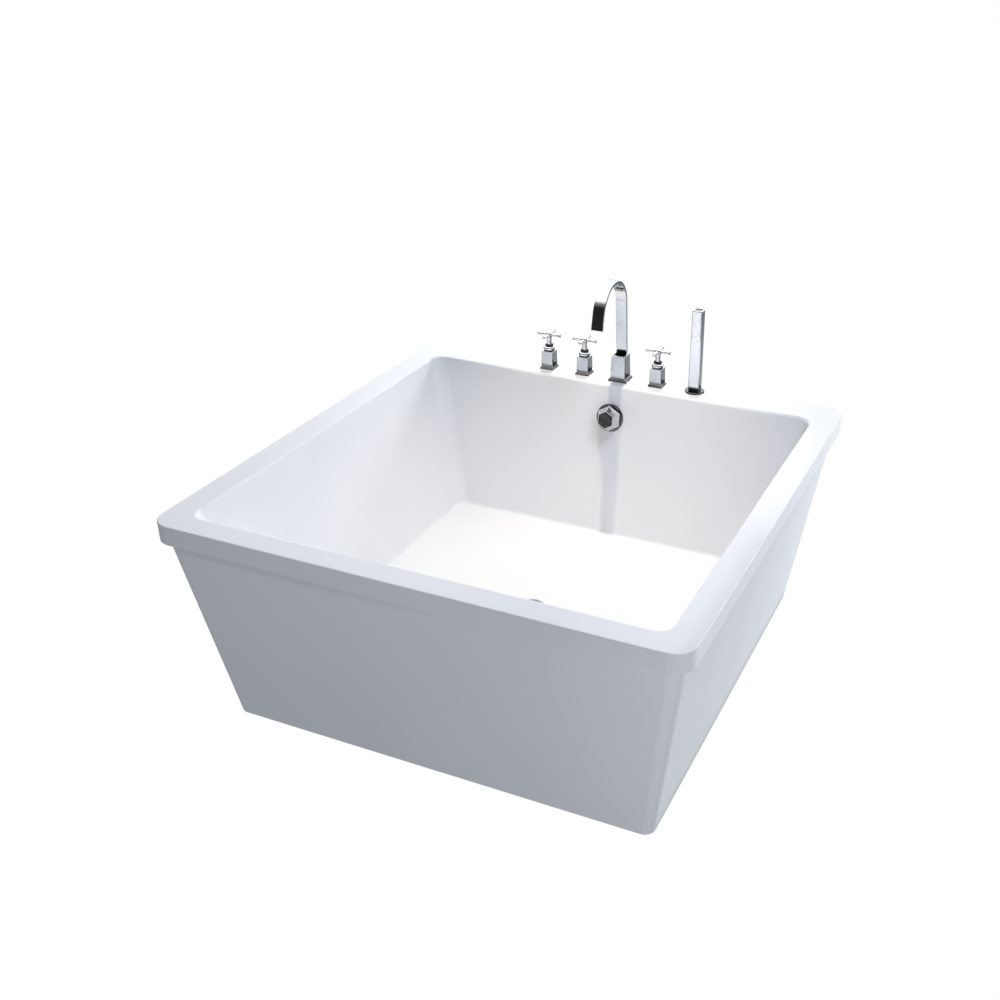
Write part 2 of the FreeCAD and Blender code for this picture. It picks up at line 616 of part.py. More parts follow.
def overflow_flange():
    """Perforated plate on the wall with a threaded shank through it."""
    plate = rod(OVERFLOW_FLANGE_R, 0.0, OVERFLOW_FLANGE_THICK)
    plate = plate.makeFillet(OVERFLOW_FLANGE_THICK / 2, edges_at(plate, OVERFLOW_FLANGE_THICK))
    shank = tube(OVERFLOW_SHANK_R, OVERFLOW_SHANK_R - OVERFLOW_SHANK_WALL, -OVERFLOW_SHANK_LENGTH, 0.0)
    flange = plate.fuse(shank)
    flange = flange.cut(rod(KNOB_SPINDLE_R + RUNNING_FIT, -OVERRUN, OVERFLOW_FLANGE_THICK + OVERRUN))
    for number in range(OVERFLOW_HOLES):
        angle = math.radians(360 / OVERFLOW_HOLES * number)
        x = OVERFLOW_HOLE_CIRCLE_R * math.cos(angle)
        y = OVERFLOW_HOLE_CIRCLE_R * math.sin(angle)
        flange = flange.cut(rod(OVERFLOW_HOLE_R, -OVERRUN, OVERFLOW_FLANGE_THICK + OVERRUN, x, y))
    return on_wall(flange)


def overflow_body():
    """Cup behind the wall with a pipe socket and a cable boss pointing down."""
    body = rod(OVERFLOW_BODY_R, OVERFLOW_BODY_BOTTOM, OVERFLOW_BODY_TOP)
    down = Vector(0, -1, 0)
    socket = Part.makeCylinder(PIPE_SOCKET_R, PIPE_SOCKET_END, Vector(0, 0, PIPE_DEPTH), down)
    boss = Part.makeCylinder(CABLE_BOSS_R, PIPE_SOCKET_END, Vector(CABLE_OFFSET, 0, PIPE_DEPTH), down)
    body = body.fuse(socket).fuse(boss)
    hollow = OVERFLOW_BODY_BOTTOM + OVERFLOW_BODY_BACK
    body = body.cut(rod(OVERFLOW_SHANK_R + SEAT_FIT, hollow, OVERFLOW_BODY_TOP + OVERRUN))
    bore_r = OVERFLOW_PIPE_R + SEAT_FIT
    body = body.cut(Part.makeCylinder(bore_r, PIPE_SOCKET_END + OVERRUN, Vector(0, 0, PIPE_DEPTH), down))
    cable_bore = Part.makeCylinder(
        CABLE_R + SEAT_FIT, PIPE_SOCKET_END + OVERRUN, Vector(CABLE_OFFSET, 0, PIPE_DEPTH), down
    )
    return on_wall(body.cut(cable_bore))


def run_to_waste(radius, x):
    """Rod from the overflow cup down behind the wall and along under the floor to the waste."""
    start = wall_point(x, -(PIPE_SOCKET_END - PIPE_SEAT), PIPE_DEPTH)
    down = Vector(wall_point(x, -1, PIPE_DEPTH) - wall_point(x, 0, PIPE_DEPTH))
    corner = start + down * ((start.z - BRANCH_Z) / -down.z)
    end = Vector(x, branch_end() - PIPE_SEAT, BRANCH_Z)
    return bent_rod(radius, start, corner, end, PIPE_BEND_R)


def overflow_pipe():
    outside = run_to_waste(OVERFLOW_PIPE_R, 0.0)
    return outside.cut(run_to_waste(OVERFLOW_PIPE_R - OVERFLOW_PIPE_WALL, 0.0))


def plug_cable():
    return run_to_waste(CABLE_R, CABLE_OFFSET)


def knob_back():
    return OVERFLOW_FLANGE_THICK + KNOB_GAP


def overflow_knob():
    """Six-sided dial that tapers to a smaller flat front."""
    back = knob_back()
    front = back + KNOB_DEPTH
    knob = Part.Face(hexagon(KNOB_BACK_FLATS, back)).extrude(Vector(0, 0, KNOB_SKIRT))
    taper = loft(hexagon(KNOB_BACK_FLATS, back + KNOB_SKIRT), hexagon(KNOB_FRONT_FLATS, front))
    knob = knob.fuse(taper)
    knob = knob.makeFillet(KNOB_EDGE_R, edges_at(knob, front))
    knob = knob.cut(rod(KNOB_SPINDLE_R + RUNNING_FIT, back - OVERRUN, back + KNOB_SPINDLE_SEAT))
    return on_wall(knob)


def overflow_spindle():
    """Spindle from the knob to the drum that pulls the cable."""
    drum_foot = OVERFLOW_BODY_BOTTOM + OVERFLOW_BODY_BACK + DRUM_BACK_ROOM
    spindle = rod(KNOB_SPINDLE_R, drum_foot, knob_back() + KNOB_SPINDLE_SEAT)
    return on_wall(spindle.fuse(rod(DRUM_R, drum_foot, drum_foot + DRUM_THICK)))


# Valves
def square_flange(side, thick, bore_r):
    plate = rounded_slab(side, side, FLANGE_CORNER_R, 0.0, thick)
    plate = plate.makeChamfer(FLANGE_CHAMFER, edges_at(plate, thick))
    return plate.cut(rod(bore_r, -OVERRUN, thick + OVERRUN))


def tapered_block(foot_side, top_side, foot, top):
    block = loft(
        rounded_outline(foot_side, foot_side, BLOCK_CORNER_R, foot),
        rounded_outline(top_side, top_side, BLOCK_CORNER_R, top),
    )
    return block.makeFillet(BLOCK_EDGE_R, edges_at(block, top))


def valve_flanges():
    plate = square_flange(FLANGE_SIDE, FLANGE_THICK, DECK_HOLE_R)
    return Part.makeCompound([on_rim(plate, x) for x in (HOT_X, COLD_X, SHOWER_VALVE_X)])


def valve_block(x):
    block = tapered_block(BLOCK_FOOT_SIDE, BLOCK_TOP_SIDE, FLANGE_THICK, BLOCK_TOP)
    block = block.cut(rod(SHANK_R + SEAT_FIT, FLANGE_THICK - OVERRUN, BLOCK_TOP - BLOCK_CAP))
    block = block.cut(rod(NECK_R, BLOCK_TOP - BLOCK_CAP - OVERRUN, BLOCK_TOP + OVERRUN))
    return on_rim(block, x)


def valve_collar(x):
    """Turned ring on the block with a groove below it and a small lip above."""
    groove_r = COLLAR_R - COLLAR_GROOVE
    shoulder = BLOCK_TOP + COLLAR_GROOVE_HEIGHT
    lip = COLLAR_TOP - COLLAR_LIP_HEIGHT
    ring = turned([
        (COLLAR_BORE_R, BLOCK_TOP),
        (groove_r, BLOCK_TOP),
        (groove_r, shoulder),
        (COLLAR_R - COLLAR_EDGE / 2, shoulder),
        (COLLAR_R, shoulder + COLLAR_EDGE / 2),
        (COLLAR_R, lip - COLLAR_EDGE),
        (COLLAR_R - COLLAR_EDGE, lip),
        (groove_r - COLLAR_EDGE / 2, lip),
        (groove_r - COLLAR_EDGE / 2, COLLAR_TOP),
        (COLLAR_BORE_R, COLLAR_TOP),
    ])
    return on_rim(ring, x)


def side_port(side_x):
    """Cutter for a link pipe that enters a shank from the side."""
    return Part.makeCylinder(
        LINK_PIPE_R + SEAT_FIT, SHANK_R + OVERRUN, Vector(0, 0, -LINK_PIPE_DROP), Vector(side_x, 0, 0)
    )


def valve_body(x, port_sides):
    """Threaded shank through the rim with a supply tail below and the cartridge seat above."""
    body = rod(SHANK_R, -VALVE_DROP, VALVE_HEAD)
    body = body.fuse(rod(THREAD_R, -VALVE_DROP - VALVE_TAIL, -VALVE_DROP))
    body = body.cut(rod(VALVE_BORE_R, -VALVE_DROP - VALVE_TAIL - OVERRUN, CARTRIDGE_FOOT + OVERRUN))
    body = body.cut(rod(CARTRIDGE_R + SEAT_FIT, CARTRIDGE_FOOT, VALVE_HEAD + OVERRUN))
    for side_x in port_sides:
        body = body.cut(side_port(side_x))
    return on_rim(body, x)


def valve_cartridges():
    bore = rod(SPINDLE_R + RUNNING_FIT, VALVE_HEAD - SPINDLE_IN_CARTRIDGE, VALVE_HEAD + OVERRUN)
    cartridge = rod(CARTRIDGE_R, CARTRIDGE_FOOT, VALVE_HEAD).cut(bore)
    return Part.makeCompound([on_rim(cartridge, x) for x in (HOT_X, COLD_X, SHOWER_VALVE_X)])


def valve_spindle(x):
    foot = VALVE_HEAD - SPINDLE_IN_CARTRIDGE + MOVING_GAP
    return on_rim(rod(SPINDLE_R, foot, SPINDLE_TOP), x)


def handle_hub(x):
    """Neck that flares into the hub holding the four arms."""
    flare_foot = CROSS_Z - HUB_BELOW
    hub = turned([
        (0.0, NECK_FOOT),
        (NECK_R, NECK_FOOT),
        (NECK_R, flare_foot),
        (HUB_R, CROSS_Z - ARM_R),
        (HUB_R, CROSS_Z + ARM_R),
        (NECK_R, CROSS_Z + HUB_RISE),
        (0.0, CROSS_Z + HUB_RISE),
    ])
    hub = hub.cut(rod(SPINDLE_R + RUNNING_FIT, NECK_FOOT - OVERRUN, SPINDLE_TOP))
    for direction in arm_directions():
        start = Vector(0, 0, CROSS_Z) + direction * ARM_SEAT
        hub = hub.cut(Part.makeCylinder(ARM_R + SEAT_FIT, HUB_R, start, direction))
    return on_rim(hub, x)


def arm_directions():
    return (Vector(1, 0, 0), Vector(0, 1, 0), Vector(-1, 0, 0), Vector(0, -1, 0))


def handle_arms(x):
    """Four turned arms, each with a groove and a rounded button at its tip."""
    button_foot = ARM_REACH - BUTTON_LENGTH
    arm = turned([
        (0.0, ARM_SEAT),
        (ARM_R, ARM_SEAT),
        (ARM_R, button_foot - BUTTON_GROOVE),
        (ARM_R - BUTTON_GROOVE, button_foot),
        (BUTTON_R, button_foot),
        (BUTTON_R, ARM_REACH - BUTTON_EDGE_R),
        (BUTTON_R - BUTTON_EDGE_R, ARM_REACH),
        (0.0, ARM_REACH),
    ])
    arm.rotate(Vector(0, 0, 0), Vector(0, 1, 0), 90)
    arms = []
    for number in range(len(arm_directions())):
        turned_arm = arm.copy()
        turned_arm.rotate(Vector(0, 0, 0), Vector(0, 0, 1), 90 * number)
        turned_arm.translate(Vector(0, 0, CROSS_Z))
        arms.append(on_rim(turned_arm, x))
    return Part.makeCompound(arms)


# Pieces under the rim
def shank_list():
    places = []
    for x in (HOT_X, COLD_X, 0.0, SHOWER_VALVE_X):
        places.append((x, SHANK_R))
    places.append((HANDSET_X, GUIDE_R))
    return places


def deck_washers():
    top = -RIM_THICK
    washers = []
    for x, radius in shank_list():
        hole_r = radius + SEAT_FIT
        washers.append(on_rim(tube(hole_r + DECK_WASHER_LAND, hole_r, top - DECK_WASHER_THICK, top), x))
    return Part.makeCompound(washers)


def deck_nuts():
    top = -RIM_THICK - DECK_WASHER_THICK
    nuts = []
    for x, radius in shank_list():
        flats = 2 * (radius + SEAT_FIT + DECK_NUT_WALL)
        nuts.append(on_rim(hex_nut(radius + SEAT_FIT, flats, top - DECK_NUT_HEIGHT, top), x))
    return Part.makeCompound(nuts)


def link_pipe(left_x, right_x):
    start = left_x + SHANK_R - LINK_PIPE_SEAT
    length = right_x - left_x - 2 * (SHANK_R - LINK_PIPE_SEAT)
    along = Vector(1, 0, 0)
    base = Vector(start, TAP_Y, RIM_Z - LINK_PIPE_DROP)
    outside = Part.makeCylinder(LINK_PIPE_R, length, base, along)
    inner_base = base - along * OVERRUN
    return outside.cut(
        Part.makeCylinder(LINK_PIPE_R - LINK_PIPE_WALL, length + 2 * OVERRUN, inner_base, along)
    )


# Spout
def spout_block():
    block = tapered_block(SPOUT_FOOT_SIDE, SPOUT_TOP_SIDE, SPOUT_FLANGE_THICK, SPOUT_BLOCK_TOP)
    block = block.cut(rod(SHANK_R + SEAT_FIT, SPOUT_FLANGE_THICK - OVERRUN, SPOUT_SHANK_TOP + OVERRUN))
    opening = RIBBON_WIDTH + 2 * SEAT_FIT
    return on_rim(block.cut(box(opening, opening, SPOUT_SHANK_TOP, SPOUT_BLOCK_TOP + OVERRUN)), 0.0)


def spout_shank():
    """Tee under the spout that takes a link pipe on each side."""
    shank = rod(SHANK_R, -VALVE_DROP, SPOUT_SHANK_TOP)
    shank = shank.cut(rod(VALVE_BORE_R, -VALVE_DROP + BLOCK_CAP, SPOUT_SHANK_TOP + OVERRUN))
    return on_rim(shank.cut(side_port(-1)).cut(side_port(1)), 0.0)


def arch_centre():
    lean = math.radians(NECK_LEAN)
    y = RIBBON_BACK - (ARCH_R + ARCH_RISE * math.sin(lean)) / math.cos(lean)
    return Vector(0, y, SPOUT_BLOCK_TOP + ARCH_RISE)


def tip_point(radius, run):
    """Point at a radius from the arch's centre where the bend ends, moved along the straight tip."""
    lean = math.radians(TIP_LEAN)
    bend_end = arch_centre() + Vector(0, -math.cos(lean), math.sin(lean)) * radius
    return bend_end + Vector(0, -math.sin(lean), -math.cos(lean)) * run


def ribbon(width, thick, run):
    """Flat bar that leans forward, bends over in one round arch and ends in a straight run."""
    lean = math.radians(NECK_LEAN)
    foot_z = SPOUT_SHANK_TOP - RIBBON_THICK
    sides = []
    for radius in (ARCH_R + thick / 2, ARCH_R - thick / 2):
        out = Vector(0, math.cos(lean), math.sin(lean))
        down = Vector(0, math.sin(lean), -math.cos(lean))
        bend_start = arch_centre() + out * radius
        foot = bend_start + down * ((bend_start.z - foot_z) / math.cos(lean))
        crown = arch_centre() + Vector(0, 0, radius)
        sides.append((foot, bend_start, crown, tip_point(radius, 0.0), tip_point(radius, run)))
    outer, inner = sides
    outline = Part.Wire([
        Part.LineSegment(outer[0], outer[1]).toShape(),
        Part.Arc(outer[1], outer[2], outer[3]).toShape(),
        Part.LineSegment(outer[3], outer[4]).toShape(),
        Part.LineSegment(outer[4], inner[4]).toShape(),
        Part.LineSegment(inner[4], inner[3]).toShape(),
        Part.Arc(inner[3], inner[2], inner[1]).toShape(),
        Part.LineSegment(inner[1], inner[0]).toShape(),
        Part.LineSegment(inner[0], outer[0]).toShape(),
    ])
    bar = Part.Face(outline).extrude(Vector(width, 0, 0))
    bar.translate(Vector(-width / 2, 0, 0))
    return bar


def spout_neck():
    """Hollow ribbon from the block's mouth to the outlet."""
    bar = ribbon(RIBBON_WIDTH, RIBBON_THICK, TIP_RUN)
    long_edges = []
    for edge in bar.Edges:
        across = edge.BoundBox.XLength > HEIGHT_TOLERANCE
        if not across and edge.Length > 2 * RIBBON_THICK:
            long_edges.append(edge)
    bar = bar.makeFillet(RIBBON_EDGE_R, long_edges)
    bore = ribbon(RIBBON_WIDTH - 2 * RIBBON_WALL, RIBBON_THICK - 2 * RIBBON_WALL, TIP_RUN + OVERRUN)
    below = box(SPOUT_FOOT_SIDE, SPOUT_FOOT_SIDE, SPOUT_SHANK_TOP - SPOUT_BLOCK_HEIGHT, SPOUT_SHANK_TOP)
    return on_rim(bar.cut(bore).cut(below), 0.0)


def spout_outlet():
    """End piece with a slotted mouth, plugged into the ribbon."""
    end_piece = box(RIBBON_WIDTH, RIBBON_THICK, -OUTLET_LENGTH, 0.0)
    upright = []
    for edge in end_piece.Edges:
        if edge.BoundBox.ZLength > HEIGHT_TOLERANCE:
            upright.append(edge)
    end_piece = end_piece.makeFillet(RIBBON_EDGE_R, upright)
    inset = 2 * (RIBBON_WALL + SEAT_FIT)
    end_piece = end_piece.fuse(box(RIBBON_WIDTH - inset, RIBBON_THICK - inset, 0.0, OUTLET_PLUG))
    mouth = RIBBON_WIDTH - 2 * inset
    slot = (mouth - (OUTLET_SLOTS - 1) * OUTLET_SLOT_GAP) / OUTLET_SLOTS
    slot_depth = RIBBON_THICK - inset - OUTLET_PLUG_WALL * 2
    for number in range(OUTLET_SLOTS):
        x = -mouth / 2 + slot / 2 + number * (slot + OUTLET_SLOT_GAP)
        end_piece = end_piece.cut(box(slot, slot_depth, -OUTLET_LENGTH - OVERRUN, OUTLET_PLUG + OVERRUN, x))
    end_piece.rotate(Vector(0, 0, 0), Vector(1, 0, 0), -TIP_LEAN)
    end_piece.translate(tip_point(ARCH_R, TIP_RUN))
    return on_rim(end_piece, 0.0)


# Hand shower
def handset_ring():
    ring = rod(RING_R, 0.0, RING_THICK)
    ring = ring.makeFillet(RING_EDGE_R, edges_at(ring, RING_THICK))
    return on_rim(ring.cut(rod(GUIDE_R + SEAT_FIT, -OVERRUN, RING_THICK + OVERRUN)), HANDSET_X)


def handset_cradle():
    seat = rounded_slab(WAND_FOOT_WIDTH, WAND_DEPTH, CRADLE_CORNER_R, RING_THICK, WAND_FOOT)
    return on_rim(seat.cut(rod(CRADLE_BORE_R, RING_THICK - OVERRUN, WAND_FOOT + OVERRUN)), HANDSET_X)


def hose_guide():
    return on_rim(tube(GUIDE_R, CRADLE_BORE_R, -GUIDE_DROP, RING_THICK), HANDSET_X)


def spray_pocket(width, foot, top, depth):
    front = -WAND_DEPTH / 2
    return box(width, 2 * depth, foot, top, 0.0, front)


def handset_body():
    """Square wand, hollow, with a pocket in its front for the spray plate."""
    wand = loft(
        rounded_outline(WAND_FOOT_WIDTH, WAND_DEPTH, WAND_CORNER_R, WAND_FOOT),
        rounded_outline(WAND_TOP_WIDTH, WAND_DEPTH, WAND_CORNER_R, WAND_TOP),
    )
    wand = wand.makeFillet(WAND_TOP_EDGE_R, edges_at(wand, WAND_TOP))
    wand = wand.cut(spray_pocket(SPRAY_WIDTH, SPRAY_FOOT, SPRAY_TOP, SPRAY_THICK))
    chamber_foot = SPRAY_FOOT + SPRAY_REST
    chamber_top = SPRAY_TOP - SPRAY_REST
    chamber_width = SPRAY_WIDTH - 2 * SPRAY_REST
    wand = wand.cut(spray_pocket(chamber_width, chamber_foot, chamber_top, SPRAY_THICK + SPRAY_CHAMBER))
    return on_rim(wand.cut(rod(WAND_BORE_R, WAND_FOOT - OVERRUN, SPRAY_FOOT + SPRAY_LENGTH / 2)), HANDSET_X)


def handset_spray_plate():
    foot = SPRAY_FOOT + SEAT_FIT
    top = SPRAY_TOP - SEAT_FIT
    back = -WAND_DEPTH / 2 + SPRAY_THICK
    thick = SPRAY_THICK + SPRAY_PROUD
    plate = box(SPRAY_WIDTH - 2 * SEAT_FIT, thick, foot, top, 0.0, back - thick / 2)
    front_edges = []
    for edge in plate.Edges:
        if edge.BoundBox.YMax < back - thick + HEIGHT_TOLERANCE:
            front_edges.append(edge)
    return on_rim(plate.makeFillet(SPRAY_EDGE_R, front_edges), HANDSET_X)


def handset_inlet():
    """Spigot that stands in the cradle, with the hose thread below."""
    foot = WAND_FOOT - SPIGOT_LENGTH
    inlet = rod(SPIGOT_R, foot, WAND_FOOT).fuse(rod(THREAD_R, foot - NIPPLE_LENGTH, foot))
    bore_r = THREAD_R - NIPPLE_WALL
    return on_rim(inlet.cut(rod(bore_r, foot - NIPPLE_LENGTH - OVERRUN, WAND_FOOT + OVERRUN)), HANDSET_X)


def valve_pieces(name, x, port_sides):
    return {
        name + "_block": valve_block(x),
        name + "_collar": valve_collar(x),
        name + "_body": valve_body(x, port_sides),
        name + "_spindle": valve_spindle(x),
        name + "_handle_hub": handle_hub(x),
        name + "_handle_arms": handle_arms(x),
    }


def all_pieces():
    pieces = {
        "basin_shell": basin_shell(),
        "outer_skirt": outer_skirt(),
        "base_board": base_board(),
        "frame_rail_left": frame_rail(-1),
        "frame_rail_right": frame_rail(1),
        "frame_cross_front": frame_cross(-1),
        "frame_cross_back": frame_cross(1),
        "foot_nuts": foot_nuts(),
        "drain_flange": drain_flange(),
        "drain_plug": drain_plug(),
        "waste_gaskets": waste_gaskets(),
        "waste_body": waste_body(),
        "waste_tail": waste_tail(),
        "overflow_flange": overflow_flange(),
        "overflow_body": overflow_body(),
        "overflow_pipe": overflow_pipe(),
        "plug_cable": plug_cable(),
        "overflow_knob": overflow_knob(),
        "overflow_spindle": overflow_spindle(),
        "valve_flanges": valve_flanges(),
        "valve_cartridges": valve_cartridges(),
        "deck_washers": deck_washers(),
        "deck_nuts": deck_nuts(),
        "hot_link_pipe": link_pipe(HOT_X, COLD_X),
        "mixed_link_pipe": link_pipe(COLD_X, 0.0),
        "shower_link_pipe": link_pipe(0.0, SHOWER_VALVE_X),
        "spout_flange": on_rim(square_flange(SPOUT_FLANGE_SIDE, SPOUT_FLANGE_THICK, DECK_HOLE_R), 0.0),
        "spout_block": spout_block(),
        "spout_shank": spout_shank(),
        "spout_neck": spout_neck(),
        "spout_outlet": spout_outlet(),
        "handset_ring": handset_ring(),
        "handset_cradle": handset_cradle(),
        "hose_guide": hose_guide(),
        "handset_body": handset_body(),
        "handset_spray_plate": handset_spray_plate(),
        "handset_inlet": handset_inlet(),
    }
    for place, (x, y) in foot_places().items():
        pieces["foot_" + place] = levelling_foot(x, y)
    pieces.update(valve_pieces("hot_valve", HOT_X, (1,)))
    pieces.update(valve_pieces("cold_valve", COLD_X, (-1, 1)))
    pieces.update(valve_pieces("shower_valve", SHOWER_VALVE_X, (-1,)))
    return pieces


def main():
    os.makedirs("parts", exist_ok=True)
    for name, shape in all_pieces().items():
        shape.exportStep("parts/" + name + ".step")
        state = "valid" if shape.isValid() else "bad"
        print(name, len(shape.Solids), "solids", round(shape.Volume), "mm3", state)


main()
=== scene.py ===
# %% [markdown]
# A square freestanding bath in white acrylic, with a row of chrome taps on its back rim.
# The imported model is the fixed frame: it says where every piece sits and what it moves with.
# This lesson gives those pieces their finished surfaces, one step at a time.

# %% Load the frame
import math

import bmesh
import bpy
from mathutils import Matrix, Vector


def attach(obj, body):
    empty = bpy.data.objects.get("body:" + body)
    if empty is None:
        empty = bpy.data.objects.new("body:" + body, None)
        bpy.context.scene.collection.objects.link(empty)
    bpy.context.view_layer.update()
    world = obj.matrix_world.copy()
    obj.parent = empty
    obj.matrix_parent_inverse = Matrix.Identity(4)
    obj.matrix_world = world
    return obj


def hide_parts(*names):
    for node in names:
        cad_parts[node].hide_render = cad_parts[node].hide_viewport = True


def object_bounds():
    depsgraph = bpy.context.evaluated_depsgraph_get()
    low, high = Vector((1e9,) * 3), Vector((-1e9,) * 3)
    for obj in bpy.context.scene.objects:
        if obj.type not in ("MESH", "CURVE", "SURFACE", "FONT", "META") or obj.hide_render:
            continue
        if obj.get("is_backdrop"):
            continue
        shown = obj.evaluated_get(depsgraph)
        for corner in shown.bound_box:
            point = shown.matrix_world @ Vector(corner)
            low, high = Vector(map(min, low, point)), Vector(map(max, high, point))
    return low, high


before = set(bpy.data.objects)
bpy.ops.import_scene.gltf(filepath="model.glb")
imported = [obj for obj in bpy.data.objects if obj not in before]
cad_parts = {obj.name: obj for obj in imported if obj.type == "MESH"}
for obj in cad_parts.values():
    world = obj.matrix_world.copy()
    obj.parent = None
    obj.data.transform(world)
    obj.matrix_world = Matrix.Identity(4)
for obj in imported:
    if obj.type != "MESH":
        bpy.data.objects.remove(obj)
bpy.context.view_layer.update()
scene = bpy.context.scene

# %% [markdown]
# The camera stands in front of the bath, a little to its right, and looks down at it.
# A view is fixed by where the eye is, which way it looks and how long the lens is.
# The frame is slightly off centre, so the lens is shifted instead of turned: uprights keep their lean.

# %% Camera
IMAGE = 1000
FOCAL = 1205.084
CENTRE_X, CENTRE_Y = 576.681, 514.962
EYE = (1.111882, -2.260716, 1.73287)
heading, pitch, roll = (math.radians(angle) for angle in (23.727, 28.296, -0.314))
forward = Vector((-math.sin(heading) * math.cos(pitch), math.cos(heading) * math.cos(pitch),
                  -math.sin(pitch)))
level = Vector((math.cos(heading), math.sin(heading), 0))
down = forward.cross(level)
across = level * math.cos(roll) + down * math.sin(roll)
upright = level * math.sin(roll) - down * math.cos(roll)
camera = bpy.data.objects.new("camera", bpy.data.cameras.new("camera"))
camera.data.sensor_width = 36
camera.data.lens = FOCAL / IMAGE * camera.data.sensor_width
camera.data.shift_x = (IMAGE / 2 - CENTRE_X) / IMAGE
camera.data.shift_y = (CENTRE_Y - IMAGE / 2) / IMAGE
looking = Matrix((across, upright, -forward)).transposed().to_4x4()
camera.matrix_world = Matrix.Translation(EYE) @ looking
scene.collection.objects.link(camera)
scene.camera = camera
print("lens", round(camera.data.lens, 2), "mm")

# %% [markdown]
# A product studio is a white floor, soft lamps and a room that is brighter above than round about.
# Polished chrome shows only what stands round it, so the room that it mirrors is dark up to eye level
# and bright overhead: the dark part gives the metal its black edges. The floor is plain white to the
# camera and dimmer to everything else, so that it doesn't light the bath from below more than a real
# floor would. In reflections it fades into the dark far off, and from below it doesn't show.
# One warm lamp overhead draws the spout's shadow, and the others light the rim and fill in the walls
# and the skirt. Small dark cards, which only reflections see, hide bright patches from the chrome.

# %% Nodes for shaders and shapes
def add_node(tree, kind, inputs=None, **settings):
    """Adds a node, with its settings, and fills its inputs with numbers or links."""
    made = tree.nodes.new(kind)
    for name, value in settings.items():
        setattr(made, name, value)
    for name, value in (inputs or {}).items():
        if isinstance(value, bpy.types.NodeSocket):
            tree.links.new(value, made.inputs[name])
        else:
            made.inputs[name].default_value = value
    return made


def by_ray(tree, kind, for_camera, for_mirror, for_rest):
    """A light source that differs for the camera, for reflections and for plain lighting."""
    ray = add_node(tree, "ShaderNodeLightPath").outputs
    shaders = []
    for colour, strength in (for_camera, for_mirror, for_rest):
        shaders.append(add_node(tree, kind, {"Color": colour, "Strength": strength}).outputs[0])
    seen, mirrored, plain = shaders
    unseen = add_node(tree, "ShaderNodeMixShader", {0: ray["Is Glossy Ray"], 1: plain, 2: mirrored})
    chosen = {0: ray["Is Camera Ray"], 1: unseen.outputs[0], 2: seen}
    return add_node(tree, "ShaderNodeMixShader", chosen).outputs[0]


def one_sided(tree, shader):
    """Shows a shader on the face of a sheet and nothing on its back."""
    behind = add_node(tree, "ShaderNodeNewGeometry").outputs["Backfacing"]
    clear = add_node(tree, "ShaderNodeBsdfTransparent").outputs[0]
    shown = add_node(tree, "ShaderNodeMixShader", {0: behind, 1: shader, 2: clear})
    tree.links.new(shown.outputs[0], tree.nodes["Material Output"].inputs[0])


print("helpers for nodes ready")


# %% White floor
def new_paint(name):
    """A new material and its node tree."""
    paint = bpy.data.materials.new(name)
    paint.use_nodes = True
    return paint, paint.node_tree


def studio_card(name, paint, corners, **settings):
    """A flat sheet that belongs to the studio and not to the bath."""
    mesh = bpy.data.meshes.new(name)
    mesh.from_pydata(corners, [], [(0, 1, 2, 3)])
    mesh.materials.append(paint)
    card = bpy.data.objects.new(name, mesh)
    for setting, value in settings.items():
        setattr(card, setting, value)
    scene.collection.objects.link(card)
    card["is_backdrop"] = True


WHITE = (1, 1, 1, 1)
COOL = (0.86, 0.92, 1.0, 1)
FLOOR_REACH, FLOOR_LEVEL = 40, -0.0005
floor_paint, tree = new_paint("floor_white")
spot = add_node(tree, "ShaderNodeTexCoord").outputs["Object"]
away = add_node(tree, "ShaderNodeVectorMath", {0: spot}, operation="LENGTH").outputs["Value"]
fading = {"Value": away, "From Min": 1.3, "From Max": 3.5, "To Min": 0.52, "To Max": 0.07}
faded = add_node(tree, "ShaderNodeMapRange", fading).outputs[0]
one_sided(tree, by_ray(tree, "ShaderNodeEmission", (WHITE, 1.0), (COOL, faded), (COOL, 0.36)))
signs = ((-1, -1), (1, -1), (1, 1), (-1, 1))
studio_card("floor", floor_paint, [(x * FLOOR_REACH, y * FLOOR_REACH, FLOOR_LEVEL) for x, y in signs])
print("floor", 2 * FLOOR_REACH, "m wide")

# %% Room light
ROOM_UP = (0, 0.55, 1)
ROOM_LOW = (0.02, 0.02, 0.022, 1)
ROOM_GREYS = ((0.10, 0.05), (0.30, 0.26), (0.54, 1.7), (0.95, 1.6))
world = bpy.data.worlds.new("studio")
world.use_nodes = True
tree = world.node_tree
way = add_node(tree, "ShaderNodeTexCoord").outputs["Generated"]
height = add_node(tree, "ShaderNodeVectorMath", {0: way, 1: ROOM_UP}, operation="DOT_PRODUCT")
room = add_node(tree, "ShaderNodeValToRGB", {0: height.outputs["Value"]})
for share, grey in ROOM_GREYS:
    stop = room.color_ramp.elements.new(share)
    stop.color = (grey, grey, grey, 1)
room.color_ramp.elements.remove(room.color_ramp.elements[-1])
room.color_ramp.elements[0].color = ROOM_LOW
shown = by_ray(tree, "ShaderNodeBackground", (WHITE, 1.0), (room.outputs[0], 1.0), (COOL, 0.16))
tree.links.new(shown, tree.nodes["World Output"].inputs[0])
scene.world = world
scene.view_settings.view_transform = "Standard"
print(len(room.color_ramp.elements), "greys in the mirrored room")


# %% Lamps
def aim_lamp(name, kind, power, place, target, colour, **settings):
    """A lamp that points at a target and that neither the camera nor the chrome sees."""
    light = bpy.data.lights.new(name, kind)
    light.energy = power
    light.color = colour
    for setting, value in settings.items():
        setattr(light, setting, value)
    made = bpy.data.objects.new(name, light)
    facing = (Vector(place) - Vector(target)).to_track_quat("Z", "Y").to_matrix().to_4x4()
    made.matrix_world = Matrix.Translation(place) @ facing
    made.visible_camera = made.visible_glossy = False
    scene.collection.objects.link(made)
    return made


